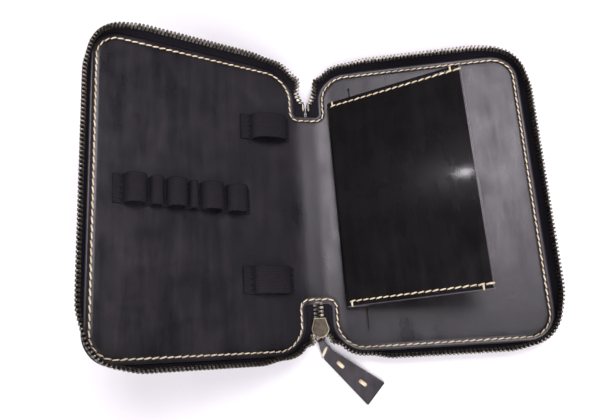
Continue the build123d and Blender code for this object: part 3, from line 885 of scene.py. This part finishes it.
class PENCASE_OT_zip(PieceOperator, bpy.types.Operator):
    """Builds the two zip tapes, their rows of teeth, the closed teeth and the stops"""

    bl_idname = "pencase.zip"
    bl_label = "Zip"

    def execute(self, context):
        tooth, metal = tooth_piece(), MATERIALS["brass"]
        pitch = self.sizes.tooth_pitch / MM
        for side, half in SIDES:
            tape = tape_object(f"zip_tape_cloth_{half}", side, MATERIALS["tape"])
            nodes = [f"zip_tape_{half}"] + ["notch_tapes"] * (side > 0)
            across_fold(tape, side, "zip_tape", *nodes)
            teeth = repeat(f"zip_teeth_row_{half}", on_side(teeth_points(), side), fold, tooth, metal, pitch)
            across_fold(teeth, side, "zip_metal", f"zip_teeth_{half}")
        closed = []
        for side in (1, -1):
            start = CLOSED_TOP - (pitch / 2 if side < 0 else 0)
            spots = [start - n * 2.6 for n in range(CLOSED_TEETH)]
            rows = [(side * CLOSED_OUT, y, CHAIN_Z, -side, 0, 0, 0, 0, 1) for y in spots]
            closed.append(repeat(f"closed_row_{side}", rows, on_spine, tooth, metal, pitch))
        fixed = join("interlocked_teeth", closed)
        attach(fixed, "spine")
        stands_for(fixed, "zip_metal", "closed_teeth")
        bpy.data.objects.remove(tooth)
        stops = []
        for side in (-1, 1):
            t = side * STOP_OUT
            plan = arc((t, 73.2), STOP_RADIUS, 180, 360, 6) + arc((t, 77.6), STOP_RADIUS, 0, 180, 6)
            stops.append(slab(f"stop_{side}", plan, STOP_PROFILE, on_spine, metal))
        top = join("top_stop_clips", stops)
        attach(top, "spine")
        stands_for(top, "zip_metal", "top_stops")
        low = slab("bottom_stop_clip", BOTTOM_STOP, BOTTOM_STOP_PROFILE, on_spine, metal)
        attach(low, "spine")
        stands_for(low, "zip_metal", "bottom_stop")
        return {"FINISHED"}


class PENCASE_OT_seams(PieceOperator, bpy.types.Operator):
    """Sews the cover to the lining round its edge, with a row of stitches on both faces"""

    bl_idname = "pencase.seams"
    bl_label = "Seam stitching"

    def execute(self, context):
        sizes = self.sizes
        pitch = sizes.stitch_pitch / MM
        stitch = stitch_piece(pitch * 0.99, sizes.thread_width / MM)
        for side, half in SIDES:
            rows = []
            for face, (z, facing) in enumerate(((4.42, 1), (0.62, -1))):
                points = on_side(seam_points(z, facing), side)
                look = (MATERIALS["thread"], pitch, radians(10 * facing), 0.06, sizes.seed)
                rows.append(repeat(f"seam_{half}_{face}", points, fold, stitch, *look))
            seam = join(f"seam_stitches_{half}", rows)
            nodes = [f"seam_thread_{half}"] + ["seam_thread_spine"] * (side > 0)
            across_fold(seam, side, "waxed_thread", *nodes)
        bpy.data.objects.remove(stitch)
        return {"FINISHED"}


# ---- elastic ----
ELASTIC = 1.2  # its thickness
BAND_WIDTH = 18.0
BAND_MIDDLE = 0.1
FRAY = 0.12  # how far its edges wander
TACK_INSET = 1.6  # from its edge to the first tack
HOOP_POWER = 2 / 2.7  # squares the loops a little
# each strap's middle, ends, rise and lean, and each pen loop's ends and rise
STRAPS = (("upper", 55.0, 52.8, 14.6, 7.4, 0.08), ("lower", -52.2, 55.0, 17.3, 6.0, 0.0))
LOOPS = (
    (133.0, 119.4, 7.6), (117.4, 108.8, 5.6), (106.8, 93.8, 7.6),
    (92.2, 86.2, 5.0), (84.2, 68.6, 7.8), (66.4, 51.6, 7.8),
)
# across the elastic, from its edge inwards: distance and height in thicknesses
STRIP_EDGE = ((0.0, 0.0), (0.15, 0.35), (0.7, 0.5))


def hoop(start, end, rise, steps=18):
    """The middle line of an elastic loop, from t start to t end, standing up by rise."""
    middle, half = (start + end) / 2, (start - end) / 2 - ELASTIC / 2
    points = []
    for n in range(steps + 1):
        x, z = cos(pi * n / steps), sin(pi * n / steps)
        points.append((middle + half * (abs(x) ** HOOP_POWER) * (1 if x > 0 else -1), rise * abs(z) ** HOOP_POWER))
    return points


def laid(*places):
    """Points of an elastic's middle line where it lies on the lining."""
    return [(t, 0.0) for t in places]


def strip_object(name, line, middle, lean=0.0):
    """An elastic strip on the front half whose middle line is given in (t, height above the lining)."""
    line = np.asarray(line, float)
    half = BAND_WIDTH / 2
    edge = [(-half + y, h) for y, h in STRIP_EDGE] + [(half - y, h) for y, h in reversed(STRIP_EDGE)]
    edge += [(y, -h) for y, h in edge[-2:0:-1]]
    lying = LINING_TOP + ELASTIC / 2 + 0.02
    sections = []
    for n, ((t, z), (a, b)) in enumerate(zip(line, square_to(line))):
        wave = FRAY * sin(n * 1.9) - lean * (t - line[:, 0].mean())
        ring = [(-(t + a * h * ELASTIC), middle + y + wave, lying + z + b * h * ELASTIC) for y, h in edge]
        sections.append(fold(ring))
    return sweep(name, sections, MATERIALS["elastic"])


class PENCASE_OT_elastic(PieceOperator, bpy.types.Operator):
    """Builds the pen loop band, the two straps and the tacking stitches that hold them"""

    bl_idname = "pencase.elastic"
    bl_label = "Elastic"

    def execute(self, context):
        stitch = stitch_piece(2.2, 1.3)
        line = laid(139.0, 137.0, 135.0, 133.6)
        for start, end, rise in LOOPS:
            line += hoop(start, end, rise)
        band = strip_object("pen_loop_elastic", line + laid(51.0, 49.8, 48.6), BAND_MIDDLE)
        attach(band, "front_half")
        stands_for(band, "elastic", "pen_loop_band")
        gaps = [(first[1] + second[0]) / 2 for first, second in zip(LOOPS, LOOPS[1:])]
        spots = [(t, BAND_MIDDLE) for t in (134.6, 49.8, *gaps)]
        self.sew("pen_loop_tacking", spots, stitch, "pen_loop_tacks")
        for label, middle, high, low, rise, lean in STRAPS:
            line = laid(high, high - 2.0, high - 5.0, high - 6.6) + hoop(high - 7.2, low + 2.8, rise, 26)
            line += laid(low + 2.2, low + 1.0, low)
            strap = strip_object(f"{label}_strap_elastic", line, middle, lean)
            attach(strap, "front_half")
            stands_for(strap, "elastic", f"{label}_strap")
            spots = [(high - 5.8, middle - 16.0 * lean), (low + 1.3, middle + 16.0 * lean)]
            self.sew(f"{label}_strap_tacking", spots, stitch, f"{label}_strap_tacks")
        bpy.data.objects.remove(stitch)
        return {"FINISHED"}

    def sew(self, name, spots, stitch, node):
        """Tacks a strip down with a short column of stitches at each of several places."""
        reach = BAND_WIDTH / 2 - TACK_INSET
        columns = []
        for n, (t, middle) in enumerate(spots):
            ys = np.linspace(middle - reach, middle + reach, 6)
            points = [(-t, y, LINING_TOP + ELASTIC + 0.12, 1, 0, 0, 0, 0, 1) for y in ys]
            look = (MATERIALS["tack"], 3.7, radians(8), 0.1, self.sizes.seed + n)
            columns.append(repeat(f"{name}_{n}", points, fold, stitch, *look))
        sewn = join(name, columns)
        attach(sewn, "front_half")
        stands_for(sewn, "dark_thread", node)


# ---- notebook cover ----
BOOK_SPOT = (20.6, 2.3, 8.6)  # t, y and z of its fold's middle
BOOK_ROLL = 3.1  # radius of the roll's outer face
BOOK_SKEW = radians(1.3)  # how crooked it lies
BOOK_TILT = radians(21.0)  # how far its leaf stands up
BOOK_HALF = 147.5 / 2
BOOK_SEAM = BOOK_HALF - 3.5
LEAF_WIDTH = 95.5
LEAF_LEATHER = 1.6
POCKET_LEATHER = 1.4
TUCKED_LEATHER = 0.9
# the tucked leaf: under the lining, up through the slit and back to the roll, as (x, z)
TUCKED_LINE = (
    (126.0 - BOOK_SPOT[0], -6.1), (80.0, -6.1), (14.5, -6.1), (12.9, -5.7), (12.0, -4.6), (11.4, -3.4),
    (10.2, -2.7), (8.6, -2.35), (6.4, -2.3), (4.4, -2.3), (3.3, -2.3),
)


def in_book(local):
    """Notebook points (x from the fold's middle, y, z) to where they lie, in metres."""
    local = np.asarray(local, float).reshape(-1, 3)
    x = local[:, 0] * cos(BOOK_SKEW) - local[:, 1] * sin(BOOK_SKEW) + BOOK_SPOT[0]
    y = local[:, 0] * sin(BOOK_SKEW) + local[:, 1] * cos(BOOK_SKEW) + BOOK_SPOT[1]
    return fold(np.column_stack([x, y, local[:, 2] + BOOK_SPOT[2]]))


def on_leaf(local):
    """Leaf points (x from the hinge, y, z above the leaf's face) to where they lie, in metres."""
    local = np.asarray(local, float).reshape(-1, 3)
    lift = local[:, 2] + BOOK_ROLL
    x = local[:, 0] * cos(BOOK_TILT) - lift * sin(BOOK_TILT)
    z = local[:, 0] * sin(BOOK_TILT) + lift * cos(BOOK_TILT)
    return in_book(np.column_stack([x, local[:, 1], z]))


def skin_sections(line, thick):
    """Sections of notebook leather that follows a line in (x, z), for sweep(), and their rim shares."""
    line = np.asarray(line, float)
    half, groove, h = BOOK_HALF, BOOK_SEAM, thick / 2
    top = [(-half, 0.0), (-half + 0.15, h * 0.75), (-half + 0.6, h)]
    top += [(-groove - 1.0, h), (-groove, h - 0.3), (-groove + 1.0, h)]
    top += [(0.0, h)] + [(-y, z) for y, z in reversed(top)]
    under = [(half - 0.15, -h * 0.75), (half - 0.6, -h), (0.0, -h), (-half + 0.6, -h), (-half + 0.15, -h * 0.75)]
    ring = top + under
    # the top and bottom edges take the notebook's pale edge colour, partly a painted highlight
    rims = [1.0 if abs(y) > half - 0.3 else 0.0 for y, _ in ring]
    normals = square_to(line)
    return [in_book([(x + a * k, y, z + b * k) for y, k in ring]) for (x, z), (a, b) in zip(line, normals)], rims


class PENCASE_OT_notebook(PieceOperator, bpy.types.Operator):
    """Builds the notebook cover: the tucked back leaf, the raised front leaf, its pocket and stitches"""

    bl_idname = "pencase.notebook"
    bl_label = "Notebook cover"

    def execute(self, context):
        skin = MATERIALS["notebook"]
        sections, rims = skin_sections(TUCKED_LINE, TUCKED_LEATHER)
        tucked = sweep("notebook_tucked_leaf", sections, skin, rims)
        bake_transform(tucked)
        stands_for(tucked, "insert_leather", "notebook_back_leaf")
        self.leaf(skin)
        # the pocket behind the leaf
        low, high = -LEAF_LEATHER - POCKET_LEATHER, -LEAF_LEATHER
        profile = [(0.7, low), (0.2, low + 0.12), (0.0, low + 0.45), (0.0, high - 0.3), (0.3, high - 0.05), (0.8, high)]
        plan = rounded((4.6, -BOOK_HALF), (LEAF_WIDTH + 0.5, BOOK_HALF), 1.6)
        # the pocket's rim takes the notebook's pale edge colour, partly a painted highlight
        pocket = slab("notebook_pocket_skin", plan, profile, on_leaf, skin, [0, 0.6, 1, 1, 0.6, 0])
        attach(pocket, "notebook_leaf")
        stands_for(pocket, "insert_leather", "notebook_pocket")
        self.stitches()
        return {"FINISHED"}

    def leaf(self, skin):
        """The roll and the front leaf, one skin that hinges where they meet and thins at its free edge."""
        radius = BOOK_ROLL - LEAF_LEATHER / 2
        slope = (cos(BOOK_TILT), sin(BOOK_TILT))
        turns = np.linspace(-pi / 2, -1.5 * pi + BOOK_TILT, 26)
        line = [(3.4, -radius), (1.7, -radius)] + [(radius * cos(a), radius * sin(a)) for a in turns]
        last = line[-1]
        steps = [1.0, 2.0, 3.5, 5.0, 7.0, 9.0, *np.linspace(14.0, LEAF_WIDTH - 1.0, 16), LEAF_WIDTH - 0.5]
        line += [(last[0] + s * slope[0], last[1] + s * slope[1]) for s in steps]
        sections, rims = skin_sections(line, LEAF_LEATHER)
        for step, share in ((LEAF_WIDTH - 0.15, 0.75), (LEAF_WIDTH, 0.35)):
            x, z = last[0] + step * slope[0], last[1] + step * slope[1]
            ahead = [(x - slope[0], z - slope[1]), (x, z), (x + slope[0], z + slope[1])]
            sections.append(skin_sections(ahead, LEAF_LEATHER * share)[0][1])
        leaf = sweep("notebook_roll_and_leaf", sections, skin, rims)
        # the free edge takes the pale edge colour, partly a painted highlight
        values = leaf.data.attributes["rim"].data
        for n in range(1, 3 * len(rims) + 1):
            values[-n].value = max(values[-n].value, 0.9)
        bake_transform(leaf)
        stands_for(leaf, "insert_leather", "notebook_fold", "notebook_front_leaf")

    def stitches(self):
        """Both seams, with the thread wrapped over the leather's edge at each end."""
        sizes = self.sizes
        pitch = sizes.stitch_pitch / MM
        stitch = stitch_piece(pitch * 0.97, sizes.thread_width / MM)
        wrap = stitch_piece(4.4, sizes.thread_width / MM * 1.25)
        under = -LEAF_LEATHER - POCKET_LEATHER - 0.1
        parts = []
        for side in (-1, 1):
            y = side * BOOK_SEAM
            for label, low, z, facing in (("leaf", 3.0, 0.1, 1), ("pocket", 6.0, under, -1)):
                rows = [(x, y, z, 0, 1, 0, 0, 0, facing) for x in np.linspace(low, LEAF_WIDTH - 3.0, 12)]
                look = (MATERIALS["thread"], pitch, radians(9 * facing), 0.05, sizes.seed)
                parts.append(repeat(f"{label}_seam_{side}", rows, on_leaf, stitch, *look))
            for n, x in enumerate((2.6, LEAF_WIDTH - 6.5)):
                place = np.array([x, y + side * 1.6, 0.2])
                parts.append(loose_stitch(f"wrap_{side}_{n}", wrap, lambda local: on_leaf(local + place)))
            place = np.array([LEAF_WIDTH - 1.7, y, 0.2])

            def across(local):
                return on_leaf(np.column_stack([-local[:, 1], local[:, 0], local[:, 2]]) + place)

            parts.append(loose_stitch(f"wrap_edge_{side}", wrap, across))
        sewn = join("notebook_stitches", parts)
        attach(sewn, "notebook_leaf")
        stands_for(sewn, "waxed_thread", "notebook_thread")
        bpy.data.objects.remove(stitch)
        bpy.data.objects.remove(wrap)


# ---- slider, ring and puller ----
SLIDER_REAR = -77.1
SLIDER_FRONT = -90.6
SLIDER_TOP = CHAIN_Z + 1.5  # the upper plate's inner face
SLIDER_UNDER = CHAIN_Z - 1.5  # the lower plate's inner face
MOUTH_RADIUS = 6.2
RING_CENTRE = (0.9, SLIDER_FRONT + 0.8)
RING_Z = SLIDER_UNDER - 1.0 - 0.95
# the upper plate's rim as (inset, height over its inner face, rim share), and the lower plate's
UPPER_RIM = (
    (0.25, 0.0, 0), (0.0, 0.2, 0), (0.0, 0.85, 0.3), (0.22, 1.12, 0.9),
    (0.6, 1.15, 1), (0.9, 1.0, 0.6), (1.05, 0.78, 0), (1.5, 0.74, 0),
)
UNDER_RIM = ((0.5, -1.0), (0.15, -0.9), (0.0, -0.6), (0.0, -0.15), (0.25, 0.0))
# the loop's middle line under the slider, as (y, z under the lower plate's inner face)
LOOP_LINE = (
    (SLIDER_FRONT + 1.9, 0.6), (SLIDER_FRONT + 1.9, 2.2), (SLIDER_FRONT + 2.2, 2.75), (SLIDER_FRONT + 3.0, 3.1),
    (SLIDER_REAR - 2.6, 3.1), (SLIDER_REAR - 1.8, 2.75), (SLIDER_REAR - 1.5, 2.2), (SLIDER_REAR - 1.5, 0.6),
)


def slider_outline():
    """The slider plate in plan: square at the closed teeth, swelling to a round mouth."""
    right = [(4.0, SLIDER_REAR), (4.3, SLIDER_REAR - 0.35), (4.42, -78.6), (5.0, -80.6), (5.7, -82.6)]
    right += arc((0.0, SLIDER_FRONT + MOUTH_RADIUS), MOUTH_RADIUS, 6, -90, 16)
    return (right + [(-t, y) for t, y in reversed(right[:-1])])[::-1]


class PENCASE_OT_slider(PieceOperator, bpy.types.Operator):
    """Builds the slider with its raised rim, flanges, wedge and ring loop"""

    bl_idname = "pencase.slider"
    bl_label = "Slider"

    def execute(self, context):
        metal, plan = MATERIALS["slider"], slider_outline()
        top, under = SLIDER_TOP, SLIDER_UNDER
        rims = [share for *_, share in UPPER_RIM]
        parts = [
            slab("slider_upper", plan, [(depth, top + z) for depth, z, _ in UPPER_RIM], on_spine, metal, rims),
            slab("slider_under", plan, [(depth, under + z) for depth, z in UNDER_RIM], on_spine, metal),
        ]
        for side in (-1, 1):
            t = side * 4.05
            plan = rounded((t - 0.22, SLIDER_REAR - 6.6), (t + 0.22, SLIDER_REAR - 0.3), 0.2, 3)
            for low, high in ((under - 0.05, under + 0.9), (top - 0.9, top + 0.05)):
                profile = [(0.1, low), (0, low + 0.1), (0, high - 0.1), (0.1, high)]
                parts.append(slab(f"flange_{side}_{low}", plan, profile, on_spine, metal))
        wedge = rounded((-1.1, SLIDER_FRONT + 1.5), (1.1, SLIDER_FRONT + 4.5), 1.0, 4)
        parts.append(slab("slider_wedge", wedge, [(0, under - 0.1), (0, top + 0.1)], on_spine, metal))
        line = [(y, under - z) for y, z in LOOP_LINE]
        round_loop = [(p * 0.65, q) for p, q in arc((0, 0), 1.0, 0, 330, 11)]
        sections = [
            on_spine([(p, y + a * q * 0.42, z + b * q * 0.42) for p, q in round_loop])
            for (y, z), (a, b) in zip(line, square_to(line))
        ]
        parts.append(sweep("slider_loop", sections, metal))
        body = join("zip_slider", parts)
        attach(body, "slider")
        stands_for(body, "zip_metal", "slider_body")
        ring = frame["nodes"]["pull_ring"]
        ring.data.materials.clear()
        ring.data.materials.append(metal)
        return {"FINISHED"}


PULLER_BOTTOM = 0.25  # z of its underside
PULLER_LEATHER = 1.1
PULLER_TOP = PULLER_BOTTOM + 2 * PULLER_LEATHER
NECK = Vector((4.4 - 82.45, -101.5))
PULLER_END = Vector((34.4 - 82.45, -128.3))
LONG_WAY = (PULLER_END - NECK).normalized()
# half its width at places from the ring; the last is at its end
PULLER_PLACES, PULLER_HALVES = (-2, 1.5, 4.0, 7.0), (1.7, 2.0, 3.3, 3.8, 9.25)
# round its section: shares of half the width and half the thickness, and the rim share
PULLER_SECTION = (
    (-1, 0, 1), (-0.985, 0.8, 1), (-0.95, 1, 0.9), (-0.87, 1, 0), (0, 1, 0), (0.87, 1, 0), (0.95, 1, 0.9),
    (0.985, 0.8, 1), (1, 0, 1), (0.985, -0.8, 0.8), (0.94, -1, 0.2), (0, -1, 0), (-0.94, -1, 0.2), (-0.985, -0.8, 0.8),
)


class PENCASE_OT_puller(PieceOperator, bpy.types.Operator):
    """Builds the leather puller, a strip folded through the ring and sewn to itself"""

    bl_idname = "pencase.puller"
    bl_label = "Puller"

    def execute(self, context):
        swing = radians(-80.0)
        at_ring = [(RING_CENTRE[0] + 3.2 * cos(swing), RING_CENTRE[1] + 3.2 * sin(swing), RING_Z)]
        eye = Vector(on_spine(at_ring)[0] / MM)
        start = eye.xy
        neck_way = (NECK - start).normalized()
        neck = (NECK - start).length
        total = neck + (PULLER_END - NECK).length
        sections = []
        line = self.middle_line(eye.z, neck, total)
        for (s, z), (a, b) in zip(line, square_to(line)):
            half = float(np.interp(s, (*PULLER_PLACES, total), PULLER_HALVES))
            if s > total - 1.3:
                half -= 0.55 * (1 - (total - s) / 1.3) ** 2
            if s <= neck:
                centre = start + neck_way * s
                way = neck_way.lerp(LONG_WAY, smooth(s, 2.0, neck)).normalized()
            else:
                centre, way = NECK + LONG_WAY * (s - neck), LONG_WAY
            side = Vector((-way.y, way.x))
            ring = []
            for across, lift, _ in PULLER_SECTION:
                # the section leans with the line, so the strip keeps its thickness round the ring
                lift *= PULLER_LEATHER / 2
                spot = centre + side * (half * across) + way * (a * lift)
                ring.append((spot.x * MM, spot.y * MM, (z + b * lift) * MM))
            sections.append(ring)
        strap = sweep("puller_leather", sections, MATERIALS["puller"], [rim for *_, rim in PULLER_SECTION])
        values = strap.data.attributes["rim"].data
        for n in range(len(PULLER_SECTION) * 2):
            values[n].value = values[-1 - n].value = 1.0
        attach(strap, "puller")
        stands_for(strap, "cover_leather", "puller_strap")
        self.threads()
        return {"FINISHED"}

    def middle_line(self, eye_z, neck, total):
        """From the end of the lower leaf, round the ring, to the end of the upper leaf, as (s, z)."""
        bottom, top = PULLER_BOTTOM + PULLER_LEATHER / 2, PULLER_BOTTOM + PULLER_LEATHER * 1.5
        shares = [total, total - 0.4, total - 1.2, *np.linspace(total - 6, neck + 1.5, 12)]
        shares += [neck, neck - 1.5, 5.0, 3.4, 2.2]
        radius = 1.1 + PULLER_LEATHER / 2 - 0.1
        turns = np.linspace(-0.72 * pi * 0.9, -1.5 * pi, 12)
        line = [(s, bottom) for s in shares] + [(radius * cos(a), eye_z + radius * sin(a)) for a in turns]
        line += [(2.4, eye_z + radius * 0.72), (3.8, eye_z * 0.55 + top * 0.45)]
        return line + [(s, top) for s in reversed(shares) if s >= 6.4]

    def threads(self):
        """Two long stitches down the puller, and the thread tied over its neck."""
        long_stitch, tie = stitch_piece(6.4, 2.6), stitch_piece(8.6, 1.8)
        side = Vector((-LONG_WAY.y, LONG_WAY.x))

        def placed(piece, name, along, turn, lift):
            spot = NECK + LONG_WAY * along

            def place(local):
                forward = local[:, 1] * cos(turn) + local[:, 0] * sin(turn)
                beside = -local[:, 1] * sin(turn) + local[:, 0] * cos(turn)
                x = spot.x + LONG_WAY.x * forward + side.x * beside
                y = spot.y + LONG_WAY.y * forward + side.y * beside
                return np.column_stack([x, y, local[:, 2] + PULLER_TOP + lift]) * MM

            return loose_stitch(name, piece, place)

        parts = [
            placed(long_stitch, "puller_stitch_near", 10.4, radians(3), 0.2),
            placed(long_stitch, "puller_stitch_far", 29.0, radians(-3), 0.2),
            placed(tie, "puller_tie", -3.0, radians(76), 0.35),
        ]
        sewn = join("puller_stitches", parts)
        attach(sewn, "puller")
        stands_for(sewn, "waxed_thread", "puller_thread")
        bpy.data.objects.remove(long_stitch)
        bpy.data.objects.remove(tie)


# ---- stage ----
CAMERA_SPOT = (-0.04044, -0.10350, 0.41427)
CAMERA_TURNS = (3.42, -14.011, -7.031)  # roll, pitch and yaw, in degrees
LENS = 35.87
FLOOR_SIZE, FLOOR_Z = 3.0, -0.0002
LIGHT_COLOUR = (1.0, 0.94, 1.02)  # the faintly rosy white of the soft boxes
# each light's name, place, aim, width, height and power
LIGHTS = (
    ("overhead_softbox", (0.24, 0.37, 1.07), (0.10, 0.02, 0.0), 0.66, 0.62, 10.0),
    ("front_fill", (0.1, -1.45, 1.5), (-0.05, 0.0, 0.03), 2.4, 1.8, 54.0),
    ("side_window", (1.6, 0.5, 0.5), (-0.15, 0.0, 0.05), 1.3, 0.6, 1.1),
    ("glint_lamp", (-0.352, 0.192, 0.62), (-0.02, 0.0, 0.03), 0.016, 0.018, 0.12),
)


class PENCASE_OT_stage(PieceOperator, bpy.types.Operator):
    """Lays the paper sweep and sets the soft lights and the camera"""

    bl_idname = "pencase.stage"
    bl_label = "Stage"

    def execute(self, context):
        corners = [(x * FLOOR_SIZE, y * FLOOR_SIZE, FLOOR_Z) for x, y in ((-1, -1), (1, -1), (1, 1), (-1, 1))]
        floor = mesh_object("paper_floor", corners, [(0, 1, 2, 3)], floor_material())
        for values in LIGHTS:
            self.light(*values)
        world = bpy.data.worlds.new("studio")
        world.use_nodes = True
        # dim where it lights the case, so that dark leather stays dark, but pale where it is seen
        seen = add(world.node_tree, "ShaderNodeLightPath").outputs["Is Camera Ray"]
        backdrop = world.node_tree.nodes["Background"]
        backdrop.inputs["Color"].default_value = (1, 1, 1, 1)
        world.node_tree.links.new(spread(world.node_tree, seen, 0.0, 1.0, 0.1, 0.9), backdrop.inputs["Strength"])
        context.scene.world = world
        self.camera(context)
        return {"FINISHED"}

    def light(self, name, spot, aim, width, height, power):
        """A square soft light that looks at a place."""
        lamp = bpy.data.lights.new(name, "AREA")
        lamp.shape = "RECTANGLE"
        lamp.size, lamp.size_y, lamp.energy = width, height, power
        lamp.color = LIGHT_COLOUR
        made = placed_in_scene(name, lamp)
        made.location = spot
        made.rotation_euler = (Vector(aim) - Vector(spot)).to_track_quat("-Z", "Y").to_euler()

    def camera(self, context):
        """The camera, above and a little in front of the case."""
        roll, pitch, yaw = (radians(a) for a in CAMERA_TURNS)
        turn_x = Matrix(((1, 0, 0), (0, cos(pitch), -sin(pitch)), (0, sin(pitch), cos(pitch))))
        turn_y = Matrix(((cos(yaw), 0, sin(yaw)), (0, 1, 0), (-sin(yaw), 0, cos(yaw))))
        turn_z = Matrix(((cos(roll), -sin(roll), 0), (sin(roll), cos(roll), 0), (0, 0, 1)))
        view = (turn_z @ turn_x @ turn_y).transposed()
        data = bpy.data.cameras.new("camera")
        data.lens = LENS
        data.clip_start = 0.01
        camera = placed_in_scene("camera", data)
        camera.matrix_world = Matrix.Translation(CAMERA_SPOT) @ view.to_4x4()
        context.scene.camera = camera
        context.scene.view_settings.view_transform = "Standard"


class PENCASE_PT_panel(bpy.types.Panel):
    """Lists the pieces and their settings in the sidebar"""

    bl_label = "Pen case"
    bl_idname = "PENCASE_PT_panel"
    bl_space_type = "VIEW_3D"
    bl_region_type = "UI"
    bl_category = "Pen case"

    def draw(self, context):
        for group in (context.scene.pen_case_look, context.scene.pen_case_sizes):
            for name in group.__annotations__:
                self.layout.prop(group, name)
        for operator in OPERATORS:
            self.layout.operator(operator.bl_idname)


OPERATORS = (
    PENCASE_OT_materials,
    PENCASE_OT_leather,
    PENCASE_OT_zip,
    PENCASE_OT_seams,
    PENCASE_OT_elastic,
    PENCASE_OT_notebook,
    PENCASE_OT_slider,
    PENCASE_OT_puller,
    PENCASE_OT_stage,
)
CLASSES = (PENCASE_PG_look, PENCASE_PG_sizes, *OPERATORS, PENCASE_PT_panel)


def register():
    for item in CLASSES:
        bpy.utils.register_class(item)
    bpy.types.Scene.pen_case_look = PointerProperty(type=PENCASE_PG_look)
    bpy.types.Scene.pen_case_sizes = PointerProperty(type=PENCASE_PG_sizes)


def unregister():
    del bpy.types.Scene.pen_case_sizes
    del bpy.types.Scene.pen_case_look
    for item in reversed(CLASSES):
        bpy.utils.unregister_class(item)


def main():
    register()
    for operator in OPERATORS:
        group, name = operator.bl_idname.split(".")
        getattr(getattr(bpy.ops, group), name)()


if __name__ == "__main__":
    main()
